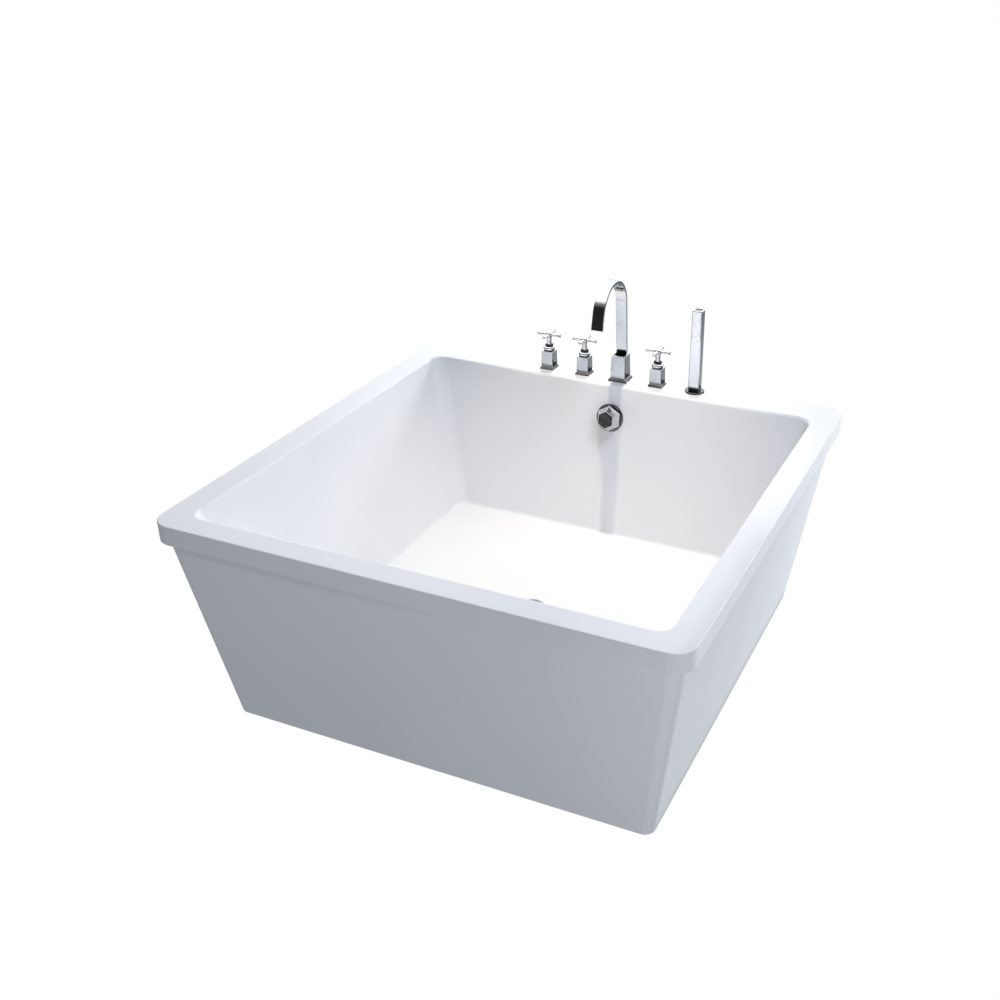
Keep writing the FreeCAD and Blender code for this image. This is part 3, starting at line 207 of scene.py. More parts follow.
def cone(degrees, radius):
    """Settings of a spot lamp: a soft-edged cone from a bulb of a radius."""
    return {"spot_size": math.radians(degrees), "spot_blend": 1.0, "shadow_soft_size": radius}


aim_lamp("key", "SPOT", 121, (-0.045, 0.26, 2.40), (0.05, 0.16, 0.11), (1.0, 0.905, 0.73), **cone(38, 0.016))
aim_lamp("front_top", "SPOT", 55, (1.1, -2.3, 2.8), (-0.54, -0.36, 0.47), (1.0, 0.96, 0.98), **cone(27, 0.3))
aim_lamp("rim_top", "SPOT", 9, (0.58, -0.52, 2.30), (0.57, -0.26, 0.52), (1.0, 0.98, 0.97), **cone(34, 0.15))
aim_lamp("right_top", "AREA", 27, (1.0, -0.2, 2.4), (-0.5, 0.0, 0.4), (0.90, 0.925, 1.0), size=0.6)
back_lamp = aim_lamp("back_top", "AREA", 61, (-0.4, 2.25, 1.27), (-0.3, 0.3, 0.52), (0.94, 0.955, 1.0),
                     size=0.6)
aim_lamp("skirt_fill", "AREA", 7, (1.25, -1.75, 0.35), (0.5, -0.55, 0.3), (0.95, 0.965, 1.0), size=0.6)
aim_lamp("right_fill", "AREA", 67, (1.9, 1.85, 0.15), (0.5, 0.2, 0.18), (0.97, 0.975, 1.0), size=0.4)
aim_lamp("left_fill", "AREA", 22, (-2.6, 0.3, 0.15), (-0.5, 0.0, 0.2), (0.96, 0.97, 1.0), size=0.5)
print(len(bpy.data.lights), "lamps aimed")

# %% Dark flags
UNSEEN = dict.fromkeys(("visible_camera", "visible_diffuse", "visible_shadow", "visible_transmission"), False)
OVER_RIM, OVERHEAD, FRONT_WALL = 0.5206, 1.60, -0.45


def flag(name, grey, *corners):
    """A card that only reflections see, and only its face: it hides a bright patch from the chrome."""
    paint, tree = new_paint(name)
    paint.cycles.emission_sampling = "NONE"
    one_sided(tree, add_node(tree, "ShaderNodeEmission", {"Color": (grey, grey, grey, 1)}).outputs[0])
    studio_card(name, paint, corners, **UNSEEN)


flag("rim_flag", 0.05, (-0.30, 0.548, OVER_RIM), (0.34, 0.548, OVER_RIM),
     (0.34, 0.599, OVER_RIM), (-0.30, 0.599, OVER_RIM))
flag("edge_flag", 0.25, (-0.45, 0.503, OVER_RIM), (0.34, 0.503, OVER_RIM),
     (0.34, 0.533, OVER_RIM), (-0.45, 0.533, OVER_RIM))
flag("front_flag", 0.05, (-0.25, FRONT_WALL, 0.285), (-0.43, FRONT_WALL, 0.285),
     (-0.43, FRONT_WALL, 0.39), (-0.25, FRONT_WALL, 0.39))
flag("top_flag", 0.14, (0.10, 0.60, OVERHEAD), (0.10, 1.80, OVERHEAD),
     (1.00, 1.80, OVERHEAD), (1.00, 0.60, OVERHEAD))
print("flags set")

# %% [markdown]
# Every finish is a shader whose colour, gloss and surface vary a little from place to place.
# The variation comes from noise on the piece's own coordinates, so it stays put when the piece moves.
# These helpers keep each finish down to a few lines.

# %% Helpers for finishes
NOISE_LOW, NOISE_HIGH = 0.3, 0.7


def new_finish(name, **sockets):
    """A material with one Principled shader; a socket is named with _ for each space."""
    material, tree = new_paint(name)
    shader = tree.nodes["Principled BSDF"]
    for socket, value in sockets.items():
        shader.inputs[socket.replace("_", " ")].default_value = value
    return material, tree, shader


def grain(tree, scale, stretch=(1, 1, 1), detail=4):
    """Noise on the piece's own coordinates, stretched along its axes."""
    place = add_node(tree, "ShaderNodeTexCoord").outputs["Object"]
    moved = add_node(tree, "ShaderNodeMapping", {"Vector": place, "Scale": stretch}).outputs[0]
    inputs = {"Vector": moved, "Scale": scale, "Detail": detail}
    return add_node(tree, "ShaderNodeTexNoise", inputs).outputs[0]


def spread(tree, noise, low, high):
    """Stretches the middle of a noise over a range of numbers."""
    inputs = {"Value": noise, "From Min": NOISE_LOW, "From Max": NOISE_HIGH, "To Min": low, "To Max": high}
    return add_node(tree, "ShaderNodeMapRange", inputs).outputs[0]


def two_tone(tree, noise, first, second):
    """Blends two colours by a noise."""
    inputs = {"Factor": spread(tree, noise, 0, 1), 6: (*first, 1), 7: (*second, 1)}
    return add_node(tree, "ShaderNodeMix", inputs, data_type="RGBA").outputs[2]


def relief(tree, shader, height, depth, strength=1.0):
    """Fine surface relief of a depth in metres."""
    bump = add_node(tree, "ShaderNodeBump", {"Height": height, "Distance": depth, "Strength": strength})
    tree.links.new(bump.outputs[0], shader.inputs["Normal"])


def plain_finish(name, first, second, rough, scale, depth, stretch=(1, 1, 1), **sockets):
    """Two close colours, a range of gloss and a fine relief, all from one noise."""
    material, tree, shader = new_finish(name, **sockets)
    noise = grain(tree, scale, stretch)
    tree.links.new(two_tone(tree, noise, first, second), shader.inputs["Base Color"])
    tree.links.new(spread(tree, noise, *rough), shader.inputs["Roughness"])
    relief(tree, shader, noise, depth)
    return material


print("finishes use noise from", NOISE_LOW, "to", NOISE_HIGH)

# %% [markdown]
# The bath is one sheet of acrylic, drawn hot into a mould and backed with glass fibre.
# Its face is glossy and almost even: a faint cloudiness in the white, a film of cleaning marks in the
# gloss, and a ripple far too fine to see except in the way it softens reflections.

# %% Acrylic
acrylic, tree, shader = new_finish("white_acrylic", IOR=1.49)
cloud = grain(tree, 3.0, detail=2)
tree.links.new(two_tone(tree, cloud, (0.80, 0.815, 0.84), (0.835, 0.845, 0.86)), shader.inputs["Base Color"])
tree.links.new(spread(tree, grain(tree, 14.0, detail=6), 0.07, 0.14), shader.inputs["Roughness"])
relief(tree, shader, grain(tree, 160.0, detail=1), 0.00002, 0.5)
print(acrylic.name, "made")

# %% [markdown]
# Most pieces here are outlines stacked one above another: squares with round corners, circles or hexagons.
# A loft through the outlines gives clean rows of four-sided faces, and most edges are eased as a polisher
# leaves them. The same helpers draw the bath, the tap blocks, the turned collars and the dial.

# %% Helpers for stacked outlines
SHARP_ANGLE = math.radians(50)


def mix(first, second, share):
    """A row of numbers part of the way from one row to another."""
    return tuple(a + (b - a) * share for a, b in zip(first, second))


def ease(rows, loop=False, steps=4):
    """Rounds the corners of a line of rows. A row is its corner's ease, then its numbers, height last."""
    eased = []
    for number, (reach, *corner) in enumerate(rows):
        at_end = number in (0, len(rows) - 1) and not loop
        if at_end or reach == 0:
            eased.append(tuple(corner))
            continue
        before = rows[number - 1][1:]
        after = rows[(number + 1) % len(rows)][1:]
        sides = []
        for other in (before, after):
            gap = math.hypot(corner[0] - other[0], corner[-1] - other[-1])
            sides.append(mix(corner, other, min(0.5, reach / max(gap, 1e-9))))
        for step in range(steps + 1):
            share = step / steps
            eased.append(mix(mix(sides[0], corner, share), mix(corner, sides[1], share), share))
    return eased


def square_ring(half_x, half_y, middle_y, corner, z, steps=8, side=0, crown=0.0):
    """Points round a square with round corners; the sides may swell by a crown."""
    arcs = []
    for number, (sign_x, sign_y) in enumerate(((1, 1), (-1, 1), (-1, -1), (1, -1))):
        hub = Vector((sign_x * (half_x - corner), middle_y + sign_y * (half_y - corner), z))
        angles = [math.pi / 2 * (number + step / steps) for step in range(steps + 1)]
        arcs.append([hub + Vector((math.cos(a), math.sin(a), 0)) * corner for a in angles])
    ring = []
    for number, outward in enumerate(((0, 1, 0), (-1, 0, 0), (0, -1, 0), (1, 0, 0))):
        start, end = arcs[number][-1], arcs[(number + 1) % 4][0]
        ring += arcs[number]
        for step in range(1, side + 1):
            share = step / (side + 1)
            ring.append(start.lerp(end, share) + Vector(outward) * crown * 4 * share * (1 - share))
    return ring


def round_ring(radius, z, count=64):
    """Points round a circle."""
    angles = [2 * math.pi * number / count for number in range(count)]
    return [Vector((radius * math.cos(a), radius * math.sin(a), z)) for a in angles]


def stack(name, rings, place=Matrix.Identity(4), loop=False):
    """Lofts a list of point rings into one mesh object, capped at its ends unless it is a loop."""
    shape = bmesh.new()
    rows = [[shape.verts.new(place @ Vector(point)) for point in ring] for ring in rings]
    pairs = list(zip(rows, rows[1:])) + ([(rows[-1], rows[0])] if loop else [])
    for low, high in pairs:
        for number in range(len(low)):
            shape.faces.new((low[number - 1], low[number], high[number], high[number - 1]))
    if not loop:
        shape.faces.new(rows[0])
        shape.faces.new(rows[-1])
    bmesh.ops.recalc_face_normals(shape, faces=shape.faces)
    mesh = bpy.data.meshes.new(name)
    shape.to_mesh(mesh)
    shape.free()
    piece = bpy.data.objects.new(name, mesh)
    scene.collection.objects.link(piece)
    return piece


def dress(piece, material, body, slot, *stands_for):
    """Gives a piece its finish and its body, and hides the plain nodes it stands for."""
    piece.data.materials.clear()
    piece.data.materials.append(material)
    piece.data.shade_smooth()
    piece.data.set_sharp_from_angle(angle=SHARP_ANGLE)
    if not piece.modifiers:
        piece.modifiers.new("even_shading", "WEIGHTED_NORMAL").keep_sharp = True
    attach(piece, body)
    if stands_for:
        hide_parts(*stands_for)
    print(piece.name, len(piece.data.polygons), "faces")
    return piece


print("a round outline has", len(round_ring(1, 0)), "points")

# %% [markdown]
# The basin, its flat rim and the lip turned down round it are one moulding, so they are one closed loft.
# The outline starts at the foot of the lip, goes over the rim, down the wall and across the floor to the
# drain, then back along the underside. Its bends have the radius that the hot sheet takes.

# %% Basin
RIM_Z, DECK_Z, LIP_Z, FLOOR_Z, UNDER_Z = 0.520, 0.514, 0.475, 0.110, 0.104
MOUTH_Y, MOUTH_DEEP, FLOOR_DEEP = -0.018, 0.5200, 0.4520
DRAIN_HOLE = 0.0235
# A row is the corner's ease, half width, half depth, middle, corner radius and height.
basin_section = [
    (0.0015, 0.6000, 0.6000, 0.0, 0.0480, LIP_Z),
    (0.0025, 0.6000, 0.6000, 0.0, 0.0480, RIM_Z),
    (0.0070, 0.5380, MOUTH_DEEP, MOUTH_Y, 0.0360, RIM_Z),
    (0.0100, 0.4400, FLOOR_DEEP, MOUTH_Y, 0.0320, FLOOR_Z),
    (0.0000, DRAIN_HOLE, DRAIN_HOLE, 0.0, DRAIN_HOLE, FLOOR_Z),
    (0.0000, DRAIN_HOLE, DRAIN_HOLE, 0.0, DRAIN_HOLE, UNDER_Z),
    (0.0200, 0.4446, 0.4570, MOUTH_Y, 0.0380, UNDER_Z),
    (0.0050, 0.5426, 0.5250, MOUTH_Y, 0.0420, DECK_Z),
    (0.0020, 0.5940, 0.5940, 0.0, 0.0420, DECK_Z),
    (0.0015, 0.5940, 0.5940, 0.0, 0.0420, LIP_Z),
]
rings = [square_ring(*row, steps=12) for row in ease(basin_section, loop=True, steps=6)]
dress(stack("basin", rings, loop=True), acrylic, "root", "acrylic_white", "basin_shell")

# %% [markdown]
# The skirt hides the frame. Its four faces lean in towards the floor, and its corners tighten on the way
# down. That is a rule, so Geometry Nodes draw it: a flat grid is wrapped round, and each point is pulled
# onto a square with round corners whose size is blended between foot and top.
# The lamp behind is there for the rim, and would bleach the skirt's back. Light linking keeps it off.

# %% Helpers for Geometry Nodes
def new_tree(name, **inputs):
    """An empty tree with named inputs; returns it with its input sockets and its output node."""
    tree = bpy.data.node_groups.new(name, "GeometryNodeTree")
    for label, kind in {"Geometry": "Geometry", **inputs}.items():
        tree.interface.new_socket(label.replace("_", " "), in_out="INPUT", socket_type="NodeSocket" + kind)
    tree.interface.new_socket("Geometry", in_out="OUTPUT", socket_type="NodeSocketGeometry")
    return tree, tree.nodes.new("NodeGroupInput").outputs, tree.nodes.new("NodeGroupOutput")


def calc(tree, operation, first, second=0.0):
    """One step of sums on numbers."""
    return add_node(tree, "ShaderNodeMath", {0: first, 1: second}, operation=operation).outputs[0]


def vector_calc(tree, operation, inputs):
    """One step of sums on vectors."""
    return add_node(tree, "ShaderNodeVectorMath", inputs, operation=operation).outputs[0]


def close_tree(tree, leave, geometry, material):
    """Ends a tree in plain faces with a finish."""
    whole = add_node(tree, "GeometryNodeRealizeInstances", {0: geometry}).outputs[0]
    painted = add_node(tree, "GeometryNodeSetMaterial", {"Geometry": whole, "Material": material}).outputs[0]
    tree.links.new(painted, leave.inputs[0])
    print(len(tree.nodes), "nodes in", tree.name)


def grow(name, tree, start=None, **values):
    """Runs a tree on a starting mesh and keeps the result as a plain mesh object."""
    seed = bpy.data.objects.new(name + "_seed", start or bpy.data.meshes.new(name + "_seed"))
    modifier = seed.modifiers.new("nodes", "NODES")
    modifier.node_group = tree
    for item in tree.interface.items_tree:
        key = item.name.replace(" ", "_")
        if item.in_out == "INPUT" and key in values:
            modifier[item.identifier] = values[key]
    scene.collection.objects.link(seed)
    made = seed.evaluated_get(bpy.context.evaluated_depsgraph_get())
    mesh = bpy.data.meshes.new_from_object(made)
    bpy.data.objects.remove(seed)
    piece = bpy.data.objects.new(name, mesh)
    scene.collection.objects.link(piece)
    return piece


print("helpers for trees ready")

# %% Tree for the skirt
FAR_OUT, SEAM = 3.0, 0.00001
skirt_tree, given, leave = new_tree(
    "tapered_skirt", Foot_Half="Float", Top_Half="Float", Foot_Corner="Float", Top_Corner="Float",
    Height="Float", Around="Int", Rows="Int", Material="Material")
sheet = add_node(skirt_tree, "GeometryNodeMeshGrid", {
    "Size X": 1.0, "Size Y": 1.0,
    "Vertices X": calc(skirt_tree, "ADD", given["Around"], 1.0), "Vertices Y": given["Rows"]})
flat = add_node(skirt_tree, "GeometryNodeInputPosition").outputs[0]
flat_parts = add_node(skirt_tree, "ShaderNodeSeparateXYZ", {0: flat}).outputs
angle = calc(skirt_tree, "MULTIPLY", calc(skirt_tree, "ADD", flat_parts["X"], 0.5), math.tau)
rise = calc(skirt_tree, "ADD", flat_parts["Y"], 0.5)


def blend_up(foot, top):
    """A size that goes from its value at the foot to its value at the top."""
    grown = calc(skirt_tree, "MULTIPLY", calc(skirt_tree, "SUBTRACT", given[top], given[foot]), rise)
    return calc(skirt_tree, "ADD", given[foot], grown)


corner = blend_up("Foot Corner", "Top Corner")
core = calc(skirt_tree, "SUBTRACT", blend_up("Foot Half", "Top Half"), corner)
anchors, rays = [], []
for turn_kind in ("COSINE", "SINE"):
    far = calc(skirt_tree, "MULTIPLY", calc(skirt_tree, turn_kind, angle), FAR_OUT)
    least = calc(skirt_tree, "MULTIPLY", core, -1.0)
    anchor = calc(skirt_tree, "MAXIMUM", calc(skirt_tree, "MINIMUM", far, core), least)
    anchors.append(anchor)
    rays.append(calc(skirt_tree, "SUBTRACT", far, anchor))
ray = add_node(skirt_tree, "ShaderNodeCombineXYZ", {"X": rays[0], "Y": rays[1]}).outputs[0]
outward = vector_calc(skirt_tree, "NORMALIZE", {0: ray})
bend = vector_calc(skirt_tree, "SCALE", {0: outward, "Scale": corner})
high = calc(skirt_tree, "MULTIPLY", rise, given["Height"])
hub = add_node(skirt_tree, "ShaderNodeCombineXYZ", {"X": anchors[0], "Y": anchors[1], "Z": high}).outputs[0]
wrapped = add_node(skirt_tree, "GeometryNodeSetPosition", {
    "Geometry": sheet.outputs["Mesh"], "Position": vector_calc(skirt_tree, "ADD", {0: hub, 1: bend})})
joined = add_node(skirt_tree, "GeometryNodeMergeByDistance", {
    "Geometry": wrapped.outputs[0], "Distance": SEAM})
close_tree(skirt_tree, leave, joined.outputs[0], given["Material"])

# %% Skirt
SKIRT_WALL = 0.005
skirt = grow("skirt", skirt_tree, Foot_Half=0.513, Top_Half=0.5888, Foot_Corner=0.025, Top_Corner=0.035,
             Height=DECK_Z, Around=160, Rows=12, Material=acrylic)
wall = skirt.modifiers.new("wall", "SOLIDIFY")
wall.thickness = SKIRT_WALL
wall.offset = -1
skirt.modifiers.new("even_shading", "WEIGHTED_NORMAL").keep_sharp = True
dress(skirt, acrylic, "root", "acrylic_white", "outer_skirt")
unlit = bpy.data.collections.new("kept_from_back_lamp")
unlit.objects.link(skirt)
unlit.collection_objects[0].light_linking.link_state = "EXCLUDE"
back_lamp.light_linking.receiver_collection = unlit
turned_in = [(0, 0.5075, 0.5075, 0, 0.020, 0.0), (0, 0.5075, 0.5075, 0, 0.020, SKIRT_WALL),
             (0, 0.4880, 0.4880, 0, 0.005, SKIRT_WALL), (0, 0.4880, 0.4880, 0, 0.005, 0.0)]
rings = [square_ring(*row) for row in ease(turned_in, loop=True)]
dress(stack("skirt_foot_flange", rings, loop=True), acrylic, "root", "acrylic_white")

# %% [markdown]
# The taps are brass, polished and plated with bright chrome. Chrome has hardly any colour of its own.
# What makes it read as metal is a trace of unevenness: water marks that dull the gloss in patches,
# and wipe marks that bend a reflection by a hair. The shades differ from piece to piece, and the
# differences are painted light: the blocks, the dial, the drain and the plug are painted greyer, a painted
# darker reflection, and on the dial painted shade as well; the flanges, the handset ring and the wand's
# top recess are painted nearly black, painted shade and dark reflection; the wand and the satin arms of
# the handles are painted brighter, a painted brighter reflection. The ribbon and the collars keep the
# plain bright chrome.

# %% Chrome
def plating(name, dull, bright, rough):
    """Chrome between two greys, with a range of gloss."""
    material, tree, shader = new_finish(name, Metallic=1.0)
    tones = [(grey * 0.985, grey * 0.995, grey * 1.015) for grey in (dull, bright)]
    tree.links.new(two_tone(tree, grain(tree, 40.0), *tones), shader.inputs["Base Color"])
    tree.links.new(spread(tree, grain(tree, 90.0, detail=8), *rough), shader.inputs["Roughness"])
    relief(tree, shader, grain(tree, 300.0, (1, 1, 0.2)), 0.00001, 0.4)
    return material


chrome = plating("polished_chrome", 0.76, 0.83, (0.03, 0.08))
# The blocks' chrome is painted greyer than the ribbon's: a painted darker reflection.
block_chrome = plating("block_chrome", 0.64, 0.72, (0.14, 0.22))
# The arms' chrome is satin, rougher, and also painted brighter: a painted brighter reflection.
satin_chrome = plating("satin_chrome", 0.90, 0.95, (0.30, 0.42))
# The wand's chrome is painted brighter: a painted brighter reflection.
wand_chrome = plating("wand_chrome", 0.88, 0.93, (0.06, 0.12))
# The dial's chrome is painted greyer: painted shade and darker reflection.
dial_chrome = plating("dial_chrome", 0.66, 0.74, (0.04, 0.10))
# Nearly black chrome for the flanges, the handset ring and the wand's top recess: painted shade and dark
# reflection.
smoked_chrome = plating("smoked_chrome", 0.14, 0.20, (0.08, 0.16))
# The drain ring's and the plug's chrome are painted greyer than the taps': a painted darker reflection.
drain_chrome = plating("drain_chrome", 0.30, 0.37, (0.10, 0.18))
plug_chrome = plating("plug_chrome", 0.53, 0.60, (0.24, 0.34))
# Black for the outlet, cradle and plug cable, and painted shade in the spout's socket and the panel's groove.
moulded_black = plain_finish("moulded_black", (0.012, 0.012, 0.013), (0.02, 0.02, 0.022), (0.25, 0.4),
                             400, 0.00001)
ring_rubber = plain_finish("ring_rubber", (0.012, 0.012, 0.012), (0.022, 0.022, 0.022), (0.55, 0.75),
                           300, 0.00002)
print("chrome and dark trim made")

# %% [markdown]
# Each valve stands on a thin square flange under a slim square block. Both are machined, then buffed,
# which eases the edges and leaves the block's faces very slightly crowned.
# That crown matters: a dead flat mirror shows one flat tone, and a crowned one shows a soft sweep of light.

# %% Flanges and blocks
TAP_Y = 0.555
TAP_X = {"hot_valve": -0.210, "cold_valve": -0.105, "shower_valve": 0.105}


def on_rim(x):
    """Sets a piece on the back rim, in line with the taps."""
    return Matrix.Translation((x, TAP_Y, RIM_Z))


def centred(section):
    """Rows of ease, half width, half depth, corner and height, eased and set on the axis."""
    return ease([(reach, wide, deep, 0.0, corner, z) for reach, wide, deep, corner, z in section])


def square_stack(name, section, x, crown=0.00012):
    """A squared piece on the rim, with faces that may be crowned."""
    rings = [square_ring(*row, steps=5, side=6, crown=crown) for row in centred(section)]
    return stack(name, rings, on_rim(x))


def square_flange(name, half, height, x):
    """A thin square plate with a bevelled top."""
    foot, bevel, inner = half - 0.001, half - 0.0015, half - 0.004
    rows = [(0, foot, foot, 0.0025, 0.0), (0.0004, half, half, 0.0025, 0.0),
            (0.0006, half, half, 0.0025, height - 0.0015), (0.0006, bevel, bevel, 0.0015, height),
            (0, inner, inner, 0.001, height)]
    return square_stack(name, rows, x, crown=0)


valve_flanges = []
valve_block = [(0, 0.0160, 0.0160, 0.002, 0.0050), (0.0006, 0.0170, 0.0170, 0.002, 0.0050),
               (0.0012, 0.0160, 0.0160, 0.002, 0.0500), (0, 0.0120, 0.0120, 0.002, 0.0502)]
# Each block takes the greyer chrome, a painted darker reflection.
for valve, x in TAP_X.items():
    valve_flanges.append(square_flange(valve + "_flange", 0.020, 0.005, x))
    block = square_stack(valve + "_block_dressed", valve_block, x)
    dress(block, block_chrome, "root", "chrome", valve + "_block")
# The flanges take the nearly black chrome: painted shade and dark reflection.
for flange in valve_flanges:
    dress(flange, smoked_chrome, "root", "chrome", "valve_flanges")

# %% [markdown]
# Above the block a turned collar sits between two dark sealing rings, and a slim neck carries the cross
# handle. Turned pieces are a section spun round an axis, so their outlines are circles.

# %% Collars, seals and hubs
def turned(name, section, place):
    """A turned piece from rows of ease, radius and height."""
    return stack(name, [round_ring(*row) for row in ease(section)], place)


BORE = 0.0070
collar = [(0, BORE, 0.0528), (0.0004, 0.0142, 0.0528), (0.0010, 0.0155, 0.0540), (0.0018, 0.0155, 0.0595),
          (0.0012, 0.0128, 0.0624), (0, BORE, 0.0626)]
hub = [(0, 0.0041, 0.0601), (0.0004, 0.0065, 0.0601), (0.004, 0.0065, 0.0860), (0.002, 0.0091, 0.0913),
       (0.002, 0.0091, 0.0987), (0.0015, 0.0065, 0.1018), (0, 0.0015, 0.1020)]
for valve, x in TAP_X.items():
    handle = valve + "_handle"
    dress(turned(valve + "_collar_dressed", collar, on_rim(x)), chrome, "root", "chrome", valve + "_collar")
    for label, foot, top, radius in (("lower", 0.0495, 0.0531, 0.0148), ("upper", 0.0620, 0.0670, 0.0112)):
        seal = [(0, BORE, foot), (0.0008, radius, foot), (0.0008, radius, top), (0, BORE, top)]
        dress(turned(f"{valve}_seal_{label}", seal, on_rim(x)), ring_rubber, "root", "seal_rubber")
    dress(turned(handle + "_hub_dressed", hub, on_rim(x)), chrome, handle, "chrome", handle + "_hub")

# %% [markdown]
# A cross handle has four equal arms. One arm is turned on a lathe, with a groove and a rounded button at
# its tip, and Geometry Nodes set copies of it round the hub, so a change to the arm changes all twelve.

# %% Tree for arms round a hub
arms_tree, given, leave = new_tree("arms_round_hub", Count="Int", Centre="Vector", Material="Material")
spokes = add_node(arms_tree, "GeometryNodePoints", {"Count": given["Count"], "Position": given["Centre"]})
share_of_turn = calc(arms_tree, "DIVIDE", math.tau, given["Count"])
number = add_node(arms_tree, "GeometryNodeInputIndex").outputs[0]
spin = calc(arms_tree, "MULTIPLY", number, share_of_turn)
placed = add_node(arms_tree, "GeometryNodeInstanceOnPoints", {
    "Points": spokes.outputs[0], "Instance": given["Geometry"],
    "Rotation": add_node(arms_tree, "ShaderNodeCombineXYZ", {"Z": spin}).outputs[0]})
close_tree(arms_tree, leave, placed.outputs[0], given["Material"])

# %% Cross handles
ARMS, ARM_RISE = 4, 0.095
arm_section = [(0, 0.0005, 0.0056), (0, 0.0037, 0.0056), (0.0004, 0.0037, 0.0282), (0.0002, 0.0030, 0.0289),
               (0.0006, 0.0048, 0.0292), (0.0014, 0.0048, 0.0335), (0, 0.0008, 0.0340)]
arm = turned("arm", arm_section, Matrix.Rotation(math.pi / 2, 4, "Y"))
# The arms take the satin chrome, painted brighter: a painted brighter reflection.
for valve, x in TAP_X.items():
    handle = valve + "_handle"
    arms = grow(handle + "_arms_dressed", arms_tree, arm.data.copy(), Count=ARMS,
                Centre=(x, TAP_Y, RIM_Z + ARM_RISE), Material=satin_chrome)
    dress(arms, satin_chrome, handle, "chrome", handle + "_arms")
bpy.data.objects.remove(arm)

# %% [markdown]
# The spout is a flat tube bent like a ribbon: up out of its block, over in one round arch and down to a
# dark outlet. Geometry Nodes follow the route: four corner points, the two upper ones rounded with the
# bending radius, and a slim section with eased edges carried along it.

# %% Spout block
SOCKET_HALF, SOCKET_FOOT, BLOCK_TOP = 0.0151, 0.0440, 0.0710
spout_rows = [(0, 0.0200, 0.0200, 0.002, 0.0060), (0.0006, 0.0210, 0.0210, 0.002, 0.0060),
              (0.0012, 0.0190, 0.0190, 0.002, BLOCK_TOP),
              (0.0006, SOCKET_HALF, SOCKET_HALF, 0.0015, BLOCK_TOP),
              (0, SOCKET_HALF, SOCKET_HALF, 0.0015, SOCKET_FOOT)]
spout_block = square_stack("spout_block_dressed", spout_rows, 0)
# The spout block takes the same greyer chrome, a painted darker reflection.
dress(spout_block, block_chrome, "root", "chrome", "spout_block")
# The faces inside the spout's socket take the black: painted shade in the socket.
spout_block.data.materials.append(moulded_black)
for face in spout_block.data.polygons:
    aside = max(abs(face.center.x), abs(face.center.y - TAP_Y))
    above = face.center.z - RIM_Z
    socket_shade = aside < SOCKET_HALF + 0.0001 and SOCKET_FOOT - 0.004 < above < BLOCK_TOP - 0.001
    face.material_index = int(socket_shade)
# The spout's flange is painted nearly black too: painted shade and dark reflection.
spout_flange = square_flange("spout_flange_dressed", 0.026, 0.006, 0)
dress(spout_flange, smoked_chrome, "root", "chrome", "spout_flange")

# %% Tree for a ribbon along a route
BEND_STEPS, EDGE_STEPS = 40, 4
ribbon_tree, given, leave = new_tree(
    "ribbon_on_route", Width="Float", Thickness="Float", Edge="Float", Bend="Float", Material="Material")
route = add_node(ribbon_tree, "GeometryNodeMeshToCurve", {0: given["Geometry"]}).outputs[0]
band = add_node(ribbon_tree, "GeometryNodeCurvePrimitiveQuadrilateral", {
    "Width": given["Width"], "Height": given["Thickness"]}).outputs[0]


def rounded(curve, count, radius):
    """A curve with its corners rounded."""
    inputs = {"Curve": curve, "Count": count, "Radius": radius}
    return add_node(ribbon_tree, "GeometryNodeFilletCurve", inputs, mode="POLY").outputs[0]


swept = add_node(ribbon_tree, "GeometryNodeCurveToMesh", {
    "Curve": rounded(route, BEND_STEPS, given["Bend"]),
    "Profile Curve": rounded(band, EDGE_STEPS, given["Edge"]), "Fill Caps": True})
close_tree(ribbon_tree, leave, swept.outputs[0], given["Material"])

# %% Ribbon
BEND = 0.078
NECK_LEAN, TIP_LEAN = math.radians(4.4), math.radians(13)
TIP_RUN = 0.026
arch_y, arch_z = -0.0810, 0.2110
crest = arch_z + BEND
foot_z = 0.036
back_corner = arch_y + BEND * math.tan(math.pi / 4 - NECK_LEAN / 2)
front_corner = arch_y - BEND * math.tan(math.pi / 4 - TIP_LEAN / 2)
foot_y = back_corner + (crest - foot_z) * math.tan(NECK_LEAN)
tip_y = arch_y - BEND * math.cos(TIP_LEAN) - TIP_RUN * math.sin(TIP_LEAN)
tip_z = arch_z + BEND * math.sin(TIP_LEAN) - TIP_RUN * math.cos(TIP_LEAN)
corners = [(foot_y, foot_z), (back_corner, crest), (front_corner, crest), (tip_y, tip_z)]
route_mesh = bpy.data.meshes.new("spout_route")
route_mesh.from_pydata([(0, TAP_Y + y, RIM_Z + z) for y, z in corners], [(0, 1), (1, 2), (2, 3)], [])
ribbon = grow("spout_ribbon", ribbon_tree, route_mesh, Width=0.030, Thickness=0.008, Edge=0.0012,
              Bend=BEND, Material=chrome)
dress(ribbon, chrome, "root", "chrome", "spout_neck")

# %% Outlet
on_tip = on_rim(0) @ Matrix.Translation((0, tip_y, tip_z)) @ Matrix.Rotation(-TIP_LEAN, 4, "X")
outlet_rows = [(0, 0.0140, 0.0032, 0.001, 0.0006), (0, 0.0140, 0.0032, 0.001, -0.0006),
               (0.0004, 0.0150, 0.0040, 0.001, -0.0006), (0.0006, 0.0150, 0.0040, 0.001, -0.0140),
               (0.0003, 0.0132, 0.0023, 0.0008, -0.0140), (0, 0.0132, 0.0023, 0.0008, -0.0100)]
rings = [square_ring(*row, steps=4) for row in centred(outlet_rows)]
dress(stack("spout_outlet_dressed", rings, on_tip), moulded_black, "root", "black_plastic", "spout_outlet")

# %% [markdown]
# The hand shower stands upright in a round ring with a dark cradle. Its wand is square and tapers a little,
# with a white spray panel let into the front of its head.

